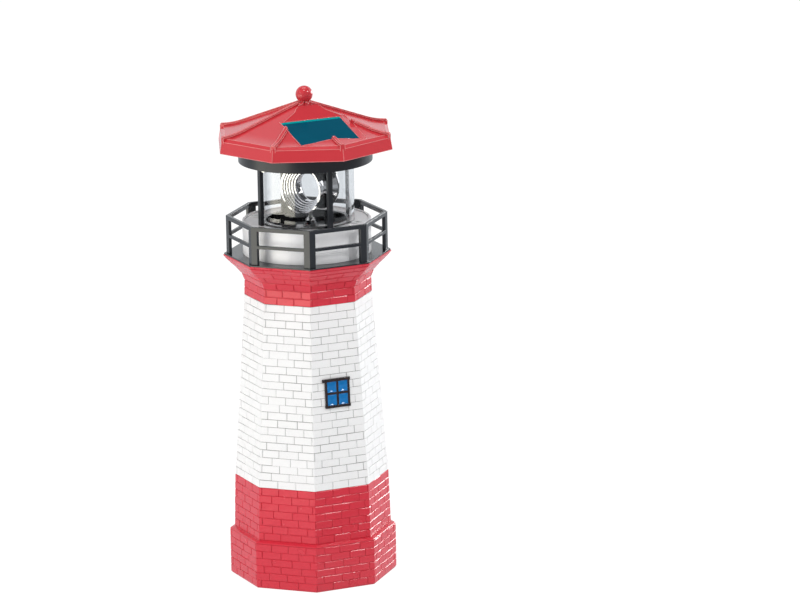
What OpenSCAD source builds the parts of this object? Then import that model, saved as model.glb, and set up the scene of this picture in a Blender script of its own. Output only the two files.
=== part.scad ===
// Solar garden lighthouse: an octagonal brick tower with a gallery, a glazed lantern with a
// turning two-bowl reflector, and an eight-sided roof that carries a solar panel.
// Millimetres, +Z up, origin at the centre of the base. The window and the panel face -Y.
// Octagon sizes are given across the corners, as a radius, unless they are called flats.

/* [Tower] */
// Height of the gallery deck's underside above the ground
tower_h = 184.9; // [175:0.1:200]
// Corner radius of the plinth
plinth_r = 46.9; // [46:0.1:50]
// Height of the plinth
plinth_h = 26.4; // [20:0.1:32]
// Corner radius of the tower just above the plinth
foot_r = 44.2; // [43:0.1:45]
// Height of the boundary between the lower red band and the white zone
band_z = 57.6; // [50:0.1:65]
// Corner radius of the tower at that boundary
band_r = 43.3; // [42:0.1:43.8]
// Height of the boundary between the white zone and the upper red band
neck_z = 161.8; // [158:0.1:164]
// Corner radius of the tower at the upper boundary
neck_r = 35.8; // [35:0.1:38]
// Height of the flare under the gallery
flare_h = 14.7; // [12:0.1:18]
// Corner radius of the flare's rim
rim_r = 47.3; // [46:0.1:52]
// Wall of the tower moulding
tower_wall = 2.4; // [1.8:0.1:2.8]

/* [Base cover] */
// Thickness of the cover that closes the tower from below
cover_t = 2.4; // [1.5:0.1:4]
// Distance of the cover screws from the axis
cover_screw_r = 36.5; // [34:0.1:37]

/* [Window] */
// Width of the window over its frame
window_w = 15; // [12:0.1:18]
// Height of the window over its frame
window_h = 16; // [13:0.1:20]
// Height of the window's centre above the ground
window_z = 112; // [90:0.5:135]
// Width of the frame's bars
frame_bar = 1.3; // [1:0.1:2]
// How far the frame stands out of the wall
frame_out = 0.9; // [0.5:0.1:1.5]
// How far the lintel runs past the frame on its left
lintel_over = 1.5; // [0.5:0.1:3]

/* [Gallery] */
// Thickness of the octagonal gallery deck
deck_t = 1; // [0.8:0.1:3]
// Corner radius of the deck
deck_r = 46.6; // [46:0.1:50]
// Corner radius of the railing's outer faces
railing_r = 45.2; // [43.5:0.1:45.8]
// Height of the railing above the deck
railing_h = 21.5; // [18:0.1:25]
// Thickness of the railing's bars, measured inwards
railing_t = 1.6; // [1.2:0.1:2]
// Depth of the top rail
top_rail_h = 2.4; // [1.5:0.1:3]
// Depth of the middle rail
mid_rail_h = 1.8; // [1.2:0.1:2.5]
// Height of the middle rail's centre above the deck
mid_rail_z = 10.2; // [8:0.1:12]
// Length of a corner post along each of its two faces
post_leg = 3.5; // [2.5:0.1:5]

/* [Drive drum] */
// Outer radius of the drum
drum_r = 36; // [35.5:0.1:37]
// Height of the drum above the deck
drum_h = 18.5; // [18:0.1:22]
// Wall of the drum
drum_wall = 2; // [1.5:0.1:2.2]
// Width of the raised rim on the drum's top
drum_rim_w = 1.5; // [1:0.1:2]
// How far the rim stands above the drum's top face
drum_rim_h = 0.6; // [0.3:0.1:1]
// Outer radius of the cup below the drum, which drops into the tower
cup_r = 26.5; // [26.3:0.1:27]
// Depth of the cup below the drum
cup_h = 16; // [15.5:0.1:18]
// Wall of the cup, its floor and its flange
cup_wall = 1.6; // [1.4:0.1:1.7]
// Distance of the four long drum screws from the axis
drum_screw_r = 30.2; // [30:0.1:30.5]

/* [Gear train] */
// Tooth module of both gear pairs
gear_module = 0.6; // [0.55:0.01:0.62]
// Teeth of the wheel on the spindle
spindle_teeth = 40; // [40:2:42]
// Teeth of the two pinions
pinion_teeth = 10; // [10:1:10]
// Teeth of the idler's wheel
idler_teeth = 32; // [30:1:32]
// Width of the spindle wheel and of the idler wheel
gear_w = 3; // [2:0.1:3.2]
// Gap between teeth in mesh, along the pitch circle
backlash = 0.14; // [0.1:0.01:0.2]
// Radius of the spindle, the idler's axle and their bores' nominal size
spindle_r = 0.9; // [0.8:0.05:1.2]
// How far the spindle stands off the lantern's middle, to the right
spindle_x = 2.4; // [0:0.1:2.6]
// Radial gap of everything that turns on a pin or in a bush
running_gap = 0.05; // [0.03:0.01:0.08]
// Radius of the motor's can
motor_r = 7.7; // [7:0.1:7.8]
// Length of the motor's can
motor_l = 14; // [10:0.1:14.2]

/* [Lantern] */
// Outer radius of the clear tube
tube_r = 26.9; // [26.5:0.1:27.2]
// Wall of the clear tube
tube_wall = 1.5; // [1.2:0.1:1.8]
// Height between the drum's top face and the head's underside
lantern_h = 34.1; // [33.6:0.1:40]
// Width of a pillar, across
pillar_w = 3; // [2.6:0.1:4.5]
// Depth of a pillar, along the radius
pillar_d = 2.4; // [2:0.1:3.4]
// How far the pillars are turned round from the middles of the tower's facets, in degrees
lantern_turn = 3; // [0:0.5:5]
// Width of the sleeve that carries the motor's leads behind the reflector
sleeve_w = 9.3; // [7.5:0.1:10]
// Depth of the platform's floor below the drum's top face
platform_sink = 3.5; // [3:0.1:3.8]
// Radius of the cone in the middle of the platform, at its foot
cone_r = 4.6; // [4:0.1:5]
// Height of that cone
cone_h = 2.9; // [2.4:0.1:3.4]

/* [Reflector] */
// Radius of the two bowls' rims
bowl_r = 13.9; // [12:0.1:14.4]
// Distance between the two rims
bowl_span = 18; // [16:0.5:19]
// Radius of the open throat between the bowls
throat_r = 8; // [7:0.1:9]
// Wall of the bowls
bowl_wall = 0.9; // [0.7:0.05:1.2]
// Height of the reflector's axis above the drum's top face
bowl_z = 18.5; // [18:0.1:18.7]
// Direction in which one bowl looks at rest, from the +X axis
bowl_turn = 208; // [0:1:359]

/* [Head] */
// Outer radius of the black collar
head_r = 37.5; // [37:0.1:38.5]
// Height of the collar's wall
head_h = 13.4; // [12:0.1:13.6]
// Wall of the collar
head_wall = 2; // [1.5:0.1:2.5]
// Radius of the light-emitting diode
led_r = 2.5; // [2:0.1:2.6]
// Travel of the power switch
switch_travel = 2; // [1.5:0.1:2.2]
// Radius of the rechargeable cell
cell_r = 5.25; // [4.8:0.05:5.3]
// Length of the rechargeable cell
cell_l = 44.5; // [40:0.1:45]

/* [Roof] */
// Corner radius of the roof at the bottom of its fascia
eave_r = 51.6; // [50:0.1:54]
// How far the fascia draws in from its bottom to its top
fascia_draw = 1.1; // [0:0.1:2]
// Height of the fascia
fascia_h = 6.5; // [5:0.1:7.5]
// Height of the sloping margin above the fascia
margin_h = 1.5; // [1:0.1:2]
// Width of that margin, inwards
margin_w = 2; // [1:0.1:2.6]
// How far the fascia's bottom edge lies above the head's underside
fascia_lift = 8.8; // [8:0.1:9.8]
// Rise of the hips for each millimetre of radius, on their straight part
hip_slope = 0.37; // [0.35:0.005:0.39]
// Rise of the hips for each millimetre of radius, at the eave
eave_slope = 0.06; // [0.04:0.01:0.1]
// Width of the curved strip between the straight slope and the eave
kick_w = 12.5; // [10:0.1:14]
// Wall of the roof moulding
roof_wall = 2; // [1.6:0.1:2.2]
// Width of the rib on each hip
rib_w = 2.8; // [1.6:0.1:3.2]
// Height of the rib on each hip
rib_h = 1.2; // [0.6:0.1:1.4]
// Radius of the ball on the roof
ball_r = 4.8; // [4:0.05:6]

/* [Solar panel] */
// Width of the solar panel
panel_w = 35.6; // [30:0.1:36]
// Length of the solar panel, down the slope
panel_l = 28.5; // [24:0.1:28.6]
// Thickness of the solar panel
panel_t = 1.6; // [1.2:0.1:1.8]
// Tilt of the solar panel
panel_tilt = 16.2; // [15.5:0.1:17]
// How far the panel sits to the left of the pocket's middle
panel_shift = 1.9; // [0:0.1:2]
// Width of the pocket in the roof
pocket_w = 40; // [39:0.1:42]
// Distance from the roof's corner in to the pocket's front wall
pocket_rim = 12.9; // [12:0.1:13.1]

/* [Fasteners and fits] */
// Shank radius of the long drum screws, the roof screws and the cover screws
screw_r = 1.3; // [1:0.05:1.5]
// Head radius of those screws
screw_head_r = 2.4; // [2.2:0.1:2.6]
// Gap round pieces that are put together by hand
fit_gap = 0.1; // [0.05:0.01:0.15]
// Radius of the insulated leads
lead_r = 0.5; // [0.4:0.05:0.55]

/* [Hidden] */
$fn = 96;
oct = 8;
eps = 0.01;
flat_of_corner = cos(22.5);

// Levels of the stack, from the deck up
deck_top = tower_h + deck_t;
drum_top = deck_top + drum_h;
drum_face = drum_top - drum_rim_h;
head_z = drum_face + lantern_h;
head_floor = head_z + head_wall;
eave_z = head_z + fascia_lift;
roof_z = eave_z + fascia_h + margin_h;
roof_r = eave_r - fascia_draw;
pocket_y = eave_r - pocket_rim;

// Angles of the four long screws, of the four pillars and of the roof screws
screw_turns = [45, 135, 225, 315];
pillar_turns = [for (k = [0 : 3]) 90 * k + lantern_turn];
roof_screw_turns = [22.5, 157.5, 202.5, 337.5];

// Centre distances of the gear train and the places of its axles
plate_z = deck_top + cup_wall;
plate_t = 1.6;
spindle_pair = gear_module * (spindle_teeth + pinion_teeth) / 2;
idler_pair = gear_module * (idler_teeth + pinion_teeth) / 2;
motor_turn = 90;
idler_turn = motor_turn - 2 * asin(idler_pair / (2 * spindle_pair));
spindle_at = [spindle_x, 0];
motor_at = spindle_at + spindle_pair * [cos(motor_turn), sin(motor_turn)];
idler_at = spindle_at + spindle_pair * [cos(idler_turn), sin(idler_turn)];
idler_to_motor = atan2(motor_at[1] - idler_at[1], motor_at[0] - idler_at[0]);
gear_z = plate_z + plate_t + 1;
wheel_z = gear_z + gear_w + 0.8;

reflector_z = drum_face + bowl_z;
lead_y = tube_r - tube_wall - 1.6;
lead_pitch = 1.5;

// ---------------------------------------------------------------- shared shapes

// An eight-sided prism with its flats on X and Y
module octagon(r, h, z = 0) {
    translate([0, 0, z]) rotate([0, 0, 22.5]) cylinder(r = r, h = h, $fn = oct);
}

// An outline of [corner radius, height] points, turned into an eight-sided solid
module octagon_turned(outline, turn = 22.5) {
    rotate([0, 0, turn]) rotate_extrude($fn = oct) polygon(outline);
}

screw_head_h = 1.2;

// Copies of the children at a distance from the axis
module around(turns, r) {
    for (a = turns) rotate([0, 0, a]) translate([r, 0, 0]) children();
}

// The children, moved to the spindle's place
module at_spindle() {
    translate([spindle_at[0], spindle_at[1], 0]) children();
}

// A round ring
module ring(r_out, r_in, h, z = 0) {
    translate([0, 0, z]) difference() {
        cylinder(r = r_out, h = h);
        translate([0, 0, -1]) cylinder(r = r_in, h = h + 2);
    }
}

// A pan-head screw that points down, with a cross recess; z = 0 is the underside of its head
module screw(shank_r, length, head_r, head_h) {
    difference() {
        union() {
            cylinder(r = head_r, h = head_h, $fn = 32);
            translate([0, 0, -length]) cylinder(r = shank_r, h = length + eps, $fn = 32);
        }
        for (a = [0, 90]) rotate([0, 0, a])
            translate([-head_r * 0.6, -head_r * 0.12, head_h * 0.5])
                cube([head_r * 1.2, head_r * 0.24, head_h]);
    }
}

// A round wire through a list of points
module wire(points, r) {
    for (i = [0 : len(points) - 2]) {
        step = points[i + 1] - points[i];
        flat = norm([step[0], step[1]]);
        translate(points[i]) rotate([0, atan2(flat, step[2]), atan2(step[1], step[0])])
            cylinder(r = r, h = norm(step), $fn = 16);
        if (i > 0) translate(points[i]) sphere(r = r, $fn = 16);
    }
}

// ---------------------------------------------------------------- tower

// Corner radius of the flare at a share t of its height
function flare_at(t) = neck_r - 0.3 + (rim_r - neck_r + 0.3) * (2.2 * t * t - 1.2 * t * t * t);
flare_steps = 8;
flare_z = tower_h - flare_h;

// Outside of the tower from its foot to the flare's rim
tower_outline = concat(
    [[plinth_r - 0.6, 0], [plinth_r, 0.8], [plinth_r, plinth_h - 0.3], [plinth_r - 0.4, plinth_h]],
    [[foot_r, plinth_h + 0.6], [band_r, band_z], [neck_r, neck_z]],
    [for (i = [0 : flare_steps]) [flare_at(i / flare_steps), flare_z + flare_h * i / flare_steps]]
);
wall_r = tower_wall / flat_of_corner;
top_plate_t = 2.4;
cover_r = plinth_r - 0.6 - wall_r;
cover_screw_l = 7;

// Flats distance of the tower's outside at a height in the white zone
function tower_flat(z) = flat_of_corner * (band_r + (neck_r - band_r) * (z - band_z) / (neck_z - band_z));
window_lean = atan(flat_of_corner * (band_r - neck_r) / (neck_z - band_z));

// Inside of the tower: the wall all the way up, then the plate under the deck
tower_inside = concat(
    [[0, -1], [cover_r, -1], [cover_r, plinth_h - 1]],
    [[foot_r - wall_r, plinth_h + 0.6], [band_r - wall_r, band_z], [neck_r - wall_r, neck_z]],
    [[neck_r - 0.3 - wall_r, flare_z + 1]],
    [[rim_r - 4 * wall_r, tower_h - top_plate_t], [0, tower_h - top_plate_t]]
);

module at_window() {
    translate([0, -tower_flat(window_z), window_z]) rotate([-window_lean, 0, 0]) children();
}

module tower_body() {
    difference() {
        union() {
            difference() {
                octagon_turned(concat(tower_outline, [[0, tower_h], [0, 0]]));
                octagon_turned(tower_inside);
            }
            // bosses for the cover screws, grown out of the plinth's wall
            around(screw_turns, cover_screw_r)
                translate([0, 0, cover_t + fit_gap]) cylinder(r = 4, h = 12);
        }
        translate([0, 0, tower_h - top_plate_t - 1]) cylinder(r = cup_r + 3 * fit_gap, h = top_plate_t + 2);
        around(screw_turns, cover_screw_r)
            translate([0, 0, cover_t - 1])
                cylinder(r = screw_r + running_gap, h = cover_screw_l + 3, $fn = 32);
        around(screw_turns, drum_screw_r)
            translate([0, 0, tower_h - 5]) cylinder(r = screw_r + running_gap, h = 6, $fn = 32);
        at_window() cube([window_w + 2 * fit_gap, 12, window_h + 2 * fit_gap], center = true);
    }
}

// One hollow moulding, painted in three zones
module tower_shell() {
    color("whitesmoke") intersection() {
        tower_body();
        translate([-60, -60, band_z]) cube([120, 120, neck_z - band_z]);
    }
    color([0.84, 0.22, 0.24]) difference() {
        tower_body();
        translate([-60, -60, band_z]) cube([120, 120, neck_z - band_z]);
    }
}

// Plate that closes the tower from below; the ornament stands on it and on the plinth's edge
module base_cover() {
    color([0.25, 0.25, 0.26]) difference() {
        octagon(cover_r - fit_gap, cover_t);
        around(screw_turns, cover_screw_r) {
            translate([0, 0, -1]) cylinder(r = screw_r + fit_gap, h = cover_t + 2, $fn = 32);
            translate([0, 0, -1]) cylinder(r = screw_head_r + fit_gap, h = 1 + cover_t - 0.9, $fn = 32);
        }
    }
}

module cover_screws() {
    color("silver") around(screw_turns, cover_screw_r)
        translate([0, 0, cover_t - 0.9]) mirror([0, 0, 1]) screw(screw_r, cover_screw_l, screw_head_r, screw_head_h);
}

// ---------------------------------------------------------------- window

window_depth = tower_wall + frame_out;
pane_w = (window_w - 3 * frame_bar) / 2;
pane_h = (window_h - 3 * frame_bar) / 2;

// Frame with a cross, a lintel that overhangs on the left, and a sill
module window_frame() {
    color([0.2, 0.11, 0.09]) at_window() difference() {
        union() {
            translate([-window_w / 2, -frame_out, -window_h / 2]) cube([window_w, window_depth, window_h]);
            translate([-window_w / 2 - lintel_over, -frame_out - 0.3, window_h / 2 - frame_bar])
                cube([window_w + lintel_over + 0.3, frame_out + 0.3 - fit_gap, frame_bar + 0.4]);
            translate([-window_w / 2 - 0.2, -frame_out - 0.2, -window_h / 2 - 0.2])
                cube([window_w + 0.4, frame_out + 0.2 - fit_gap, frame_bar + 0.2]);
        }
        for (sx = [-1, 1], sz = [-1, 1])
            translate([sx * (pane_w + frame_bar) / 2, 0, sz * (pane_h + frame_bar) / 2])
                cube([pane_w, 20, pane_h], center = true);
    }
}

// Four pillowed panes on one backing
module window_panes() {
    pane_out = frame_out - 0.2;
    color([0.05, 0.32, 0.62]) at_window() {
        for (sx = [-1, 1], sz = [-1, 1])
            translate([sx * (pane_w + frame_bar) / 2, 0, sz * (pane_h + frame_bar) / 2]) intersection() {
                translate([-pane_w / 2 + fit_gap, -pane_out, -pane_h / 2 + fit_gap])
                    cube([pane_w - 2 * fit_gap, pane_out + tower_wall + 0.6, pane_h - 2 * fit_gap]);
                translate([0, 9 - pane_out, 0]) sphere(r = 9);
            }
        translate([-window_w / 2, tower_wall + 0.05, -window_h / 2]) cube([window_w, 0.8, window_h]);
    }
}

// ---------------------------------------------------------------- gallery

module gallery_deck() {
    color([0.2, 0.2, 0.21]) difference() {
        octagon(deck_r, deck_t, tower_h);
        translate([0, 0, tower_h - 1]) cylinder(r = cup_r + 3 * fit_gap, h = deck_t + 2);
        around(screw_turns, drum_screw_r)
            translate([0, 0, tower_h - 1]) cylinder(r = screw_r + fit_gap, h = deck_t + 2, $fn = 32);
    }
}

module octagon_band(r_out, t, h, z) {
    difference() {
        octagon(r_out, h, z);
        octagon(r_out - t / flat_of_corner, h + 2, z - 1);
    }
}

// Eight angle posts at the corners, joined by a top rail and a middle rail
module gallery_railing() {
    post_half = post_leg * flat_of_corner;
    color([0.17, 0.17, 0.18]) {
        octagon_band(railing_r, railing_t + 0.3, top_rail_h, deck_top + railing_h - top_rail_h);
        octagon_band(railing_r, railing_t, mid_rail_h, deck_top + mid_rail_z - mid_rail_h / 2);
        intersection() {
            octagon_band(railing_r, railing_t, railing_h - eps, deck_top);
            for (k = [0 : oct - 1]) rotate([0, 0, 22.5 + 45 * k])
                translate([railing_r - 8, -post_half, deck_top]) cube([12, 2 * post_half, railing_h]);
        }
    }
}

// ---------------------------------------------------------------- drive drum

column_r = 3;

// Silver drum: a shell that is open below, with a raised rim and four screw bosses on top
module drum() {
    inner_top = drum_face - drum_wall;
    color([0.85, 0.85, 0.83]) difference() {
        union() {
            translate([0, 0, deck_top]) cylinder(r = drum_r, h = drum_face - deck_top);
            ring(drum_r, drum_r - drum_rim_w, drum_rim_h + eps, drum_face - eps);
            around(screw_turns, drum_screw_r)
                translate([0, 0, drum_face - eps]) cylinder(r = column_r + 0.6, h = 0.5, $fn = 32);
        }
        translate([0, 0, deck_top - 1]) cylinder(r = drum_r - drum_wall, h = inner_top - deck_top + 1);
        // groove that the clear tube stands in
        ring(tube_r + fit_gap, tube_r - tube_wall - fit_gap, 2, drum_face - 0.8);
        // opening for the platform's dish, screw holes and the slot for the leads
        translate([0, 0, inner_top - 1]) cylinder(r = dish_r + fit_gap, h = drum_wall + 2);
        around(screw_turns, drum_screw_r) {
            translate([0, 0, inner_top - 1]) cylinder(r = screw_r + fit_gap, h = drum_wall + 3, $fn = 32);
            translate([0, 0, drum_face - 0.7]) cylinder(r = screw_head_r + fit_gap, h = 3, $fn = 32);
        }
        translate([-2, lead_y - 1, inner_top - 1]) cube([4, 2, drum_wall + 2]);
    }
}

// Cup in the tower's top with a flange under the drum and four hollow columns
module drive_base() {
    flange_r = drum_r - drum_wall - 0.3;
    cup_floor = deck_top - cup_h;
    color([0.23, 0.23, 0.24]) difference() {
        union() {
            translate([0, 0, cup_floor]) cylinder(r = cup_r, h = cup_h + eps);
            translate([0, 0, deck_top]) cylinder(r = flange_r, h = cup_wall);
            around(screw_turns, drum_screw_r)
                translate([0, 0, deck_top]) cylinder(r = column_r, h = drum_face - drum_wall - deck_top, $fn = 32);
        }
        translate([0, 0, cup_floor + cup_wall]) cylinder(r = cup_r - cup_wall, h = cup_h + 2);
        around(screw_turns, drum_screw_r)
            translate([0, 0, deck_top - 1]) cylinder(r = screw_r + fit_gap, h = drum_h + 2, $fn = 32);
        for (sx = [-1, 1]) translate([sx * plate_screw_x, 0, deck_top - 1])
            cylinder(r = plate_screw_r + running_gap, h = cup_wall + 2, $fn = 32);
    }
}

module drum_screws() {
    drum_screw_l = drum_face - 0.7 - tower_h + 2;
    color("silver") around(screw_turns, drum_screw_r)
        translate([0, 0, drum_face - 0.7]) screw(screw_r, drum_screw_l, screw_head_r, screw_head_h);
}

plate_screw_x = 29.5;
plate_screw_r = 1;
plate_boss_h = gear_z - plate_z - plate_t - 0.2;

// Plate that carries the gear train above and the motor below
module gear_plate() {
    color([0.3, 0.3, 0.32]) difference() {
        union() {
            translate([0, 0, plate_z]) cylinder(r = cup_r, h = plate_t);
            translate([-32, -4, plate_z]) cube([64, 8, plate_t]);
            at_spindle() translate([0, 0, plate_z]) cylinder(r = 2.6, h = plate_t + plate_boss_h, $fn = 32);
            translate([idler_at[0], idler_at[1], plate_z])
                cylinder(r = 2.2, h = plate_t + plate_boss_h, $fn = 32);
        }
        at_spindle() translate([0, 0, plate_z - 1])
            cylinder(r = spindle_r + running_gap, h = plate_t + 4, $fn = 48);
        translate([idler_at[0], idler_at[1], plate_z - 1]) cylinder(r = spindle_r, h = plate_t + 4, $fn = 48);
        translate([motor_at[0], motor_at[1], plate_z - 1]) cylinder(r = 2.2, h = plate_t + 4, $fn = 48);
        for (sx = [-1, 1]) translate([sx * plate_screw_x, 0, plate_z - 1])
            cylinder(r = plate_screw_r + fit_gap, h = plate_t + 2, $fn = 32);
        translate([-2, lead_y - 1, plate_z - 1]) cube([4, 2, plate_t + 2]);
        around(screw_turns, drum_screw_r)
            translate([0, 0, plate_z - 1]) cylinder(r = column_r + 2 * fit_gap, h = plate_t + 2, $fn = 48);
    }
}

module gear_plate_screws() {
    color("silver") for (sx = [-1, 1]) translate([sx * plate_screw_x, 0, plate_z + plate_t])
        screw(plate_screw_r, plate_t + cup_wall, 1.9, 1);
}

// ---------------------------------------------------------------- gear train

pressure_angle = 20;
stub_addendum = 0.62;
flank_steps = 4;

// Angle, in degrees, by which an involute from the base circle has turned at radius r
function involute_turn(base_r, r) =
    let (roll = sqrt(max(0, r * r / (base_r * base_r) - 1))) roll * 180 / PI - atan(roll);

// One spur gear outline with a tooth centred on +X
module gear_outline(teeth, addendum) {
    pitch_r = gear_module * teeth / 2;
    base_r = pitch_r * cos(pressure_angle);
    tip_r = pitch_r + gear_module * addendum;
    root_r = pitch_r - 1.25 * gear_module;
    foot = max(base_r, root_r);
    half_tooth = 90 / teeth - backlash / 2 / pitch_r * 90 / PI;
    pitch_turn = involute_turn(base_r, pitch_r);
    flank = [for (i = [0 : flank_steps]) let (r = foot + (tip_r - foot) * i / flank_steps)
        [r, half_tooth + pitch_turn - involute_turn(base_r, r)]];
    tooth = concat(
        [[root_r, -flank[0][1]]],
        [for (p = flank) [p[0], -p[1]]],
        [for (i = [flank_steps : -1 : 0]) flank[i]],
        [[root_r, flank[0][1]]]
    );
    polygon([for (k = [0 : teeth - 1], p = tooth) let (a = p[1] + 360 * k / teeth) p[0] * [cos(a), sin(a)]]);
}

// Wheel on the spindle, with its hub
module spindle_gear() {
    color("white") at_spindle() difference() {
        union() {
            translate([0, 0, gear_z]) rotate([0, 0, idler_turn]) linear_extrude(gear_w)
                gear_outline(spindle_teeth, stub_addendum);
            translate([0, 0, gear_z]) cylinder(r = 3, h = gear_w + 1.4, $fn = 48);
        }
        translate([0, 0, gear_z - 1]) cylinder(r = spindle_r, h = gear_w + 4, $fn = 48);
        for (k = [0 : 4]) rotate([0, 0, 72 * k]) translate([6.6, 0, gear_z - 1])
            cylinder(r = 1.8, h = gear_w + 2, $fn = 32);
    }
}

// Compound idler: the pinion meshes with the spindle wheel, the wheel with the motor pinion
module idler_gear() {
    half_tooth_turn = 180 / pinion_teeth;
    color("ivory") translate([idler_at[0], idler_at[1], 0]) difference() {
        union() {
            translate([0, 0, gear_z - 0.1]) rotate([0, 0, idler_turn + 180 + half_tooth_turn])
                linear_extrude(wheel_z - gear_z + 0.1 + eps) gear_outline(pinion_teeth, 1);
            translate([0, 0, wheel_z]) rotate([0, 0, idler_to_motor]) linear_extrude(gear_w)
                gear_outline(idler_teeth, stub_addendum);
        }
        translate([0, 0, gear_z - 1]) cylinder(r = spindle_r + running_gap, h = 2 * gear_w + 4, $fn = 48);
        for (k = [0 : 3]) rotate([0, 0, 90 * k]) translate([5.6, 0, wheel_z - 1])
            cylinder(r = 1.4, h = gear_w + 2, $fn = 32);
    }
}

// Headed steel pin that the idler turns on
module idler_axle() {
    head_z0 = wheel_z + gear_w + 0.3;
    color("silver") translate([idler_at[0], idler_at[1], 0]) {
        translate([0, 0, plate_z]) cylinder(r = spindle_r, h = head_z0 - plate_z + eps, $fn = 48);
        translate([0, 0, head_z0]) cylinder(r = 1.8, h = 0.8, $fn = 48);
    }
}

module motor_pinion() {
    color("gold") translate([motor_at[0], motor_at[1], 0]) difference() {
        translate([0, 0, wheel_z - 0.3]) rotate([0, 0, idler_to_motor + 180 + 180 / pinion_teeth])
            linear_extrude(gear_w + 1) gear_outline(pinion_teeth, 1);
        translate([0, 0, wheel_z - 1]) cylinder(r = motor_shaft_r, h = gear_w + 4, $fn = 32);
    }
}

motor_shaft_r = 0.75;
motor_bearing_r = 2;

// Can of the direct-current motor, hung under the gear plate, with its two terminals
module motor() {
    color([0.72, 0.72, 0.74]) translate([motor_at[0], motor_at[1], 0]) difference() {
        union() {
            translate([0, 0, plate_z - motor_l]) cylinder(r = motor_r, h = motor_l);
            translate([0, 0, plate_z - eps]) cylinder(r = motor_bearing_r, h = 1.2, $fn = 48);
            for (sx = [-1, 1]) translate([sx * lead_pitch - 0.6, 2.4, plate_z - motor_l - 0.6])
                cube([1.2, 0.4, 0.6 + eps]);
        }
        translate([0, 0, plate_z - motor_l + 2])
            cylinder(r = motor_shaft_r + running_gap, h = motor_l + 2, $fn = 48);
    }
}

module motor_shaft() {
    shaft_z = plate_z - motor_l + 2.2;
    color("silver") translate([motor_at[0], motor_at[1], shaft_z])
        cylinder(r = motor_shaft_r, h = wheel_z + gear_w + 1.2 - shaft_z, $fn = 32);
}

// ---------------------------------------------------------------- reflector and spindle

boss_r = 1.9;
boss_l = 2.2;
spindle_top = reflector_z - throat_r - bowl_wall / 2;
skirt_z = drum_face - platform_sink + cone_h + 0.4;

module spindle() {
    spindle_z = plate_z - 0.8;
    color("silver") at_spindle() translate([0, 0, spindle_z])
        cylinder(r = spindle_r, h = spindle_top - spindle_z, $fn = 48);
}

// Small clear umbrella that keeps damp off the bush
module drip_skirt() {
    color([0.8, 0.85, 0.88, 0.6]) at_spindle() difference() {
        rotate_extrude($fn = 48) polygon([[0, skirt_z + 0.5], [2.6, skirt_z], [3, skirt_z],
            [2.7, skirt_z + 0.5], [1.5, skirt_z + 1.3], [1.4, skirt_z + 1.9], [0, skirt_z + 1.9]]);
        translate([0, 0, skirt_z - 1]) cylinder(r = spindle_r, h = 4, $fn = 48);
    }
}

// Inside radius of a bowl at distance x from the reflector's middle
throat_half = 1.5;
rim_in = bowl_r - 0.7;
function bowl_at(x) = sqrt(throat_r * throat_r
    + (rim_in * rim_in - throat_r * throat_r) * (x - throat_half) / (bowl_span / 2 - throat_half));
bowl_steps = 7;
bowl_xs = [for (i = [0 : bowl_steps]) throat_half + (bowl_span / 2 - throat_half) * i / bowl_steps];

// Two metallised bowls back to back on an open throat, with a socket for the spindle
module reflector() {
    half = concat(
        [[throat_r, 0]],
        [for (x = bowl_xs) [bowl_at(x), x]],
        [[bowl_r, bowl_span / 2], [bowl_r, bowl_span / 2 - 0.7]],
        [for (i = [bowl_steps - 1 : -1 : 0]) [bowl_at(bowl_xs[i]) + bowl_wall, bowl_xs[i]]],
        [[throat_r + bowl_wall, 0]]
    );
    color([0.78, 0.79, 0.8]) at_spindle() difference() {
        union() {
            translate([0, 0, reflector_z]) rotate([0, 0, bowl_turn]) rotate([0, 90, 0])
                for (s = [0, 1]) mirror([0, 0, s]) rotate_extrude() polygon(half);
            translate([0, 0, reflector_z - throat_r - boss_l]) cylinder(r = boss_r, h = boss_l - 0.2, $fn = 32);
        }
        translate([0, 0, reflector_z - throat_r - 4]) cylinder(r = spindle_r, h = 4 - bowl_wall / 2, $fn = 48);
        // opening in the throat that the diode shines through
        translate([0, 0, reflector_z]) cylinder(r = led_r + 0.8, h = bowl_r + 2, $fn = 48);
    }
}

// ---------------------------------------------------------------- lantern

platform_t = 0.8;
platform_r = tube_r - tube_wall - 2 * fit_gap;
dish_r = platform_r - 1.8;
dish_z = drum_face - platform_sink;

// Glossy black dish in the lantern's floor: a flange on the drum, a sunk floor and the bush cone
module platform() {
    color([0.08, 0.08, 0.09]) difference() {
        union() {
            difference() {
                union() {
                    translate([0, 0, drum_face]) cylinder(r = platform_r, h = platform_t);
                    translate([0, 0, dish_z - platform_t])
                        cylinder(r = dish_r, h = platform_sink + platform_t + eps);
                }
                translate([0, 0, dish_z]) cylinder(r = dish_r - platform_t, h = platform_sink + 2);
            }
            at_spindle() translate([0, 0, dish_z - eps])
                cylinder(r1 = cone_r, r2 = cone_top_r, h = cone_h + eps);
        }
        at_spindle() translate([0, 0, dish_z - platform_t - 1])
            cylinder(r = spindle_r + running_gap, h = platform_t + cone_h + 2, $fn = 48);
        translate([-2, lead_y - 1, dish_z - 2]) cube([4, 2, platform_sink + platform_t + 3]);
    }
}

cone_top_r = 2.6;
tube_groove = 0.7;

module clear_tube() {
    color([0.85, 0.9, 0.93, 0.35])
        ring(tube_r, tube_r - tube_wall, lantern_h + 2 * tube_groove, drum_face - tube_groove);
}

// Four posts between the drum and the head, outside the tube
module lantern_pillars() {
    color([0.14, 0.14, 0.15]) around(pillar_turns, tube_r + 0.3)
        translate([0, -pillar_w / 2, drum_face]) cube([pillar_d, pillar_w, lantern_h]);
}

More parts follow.
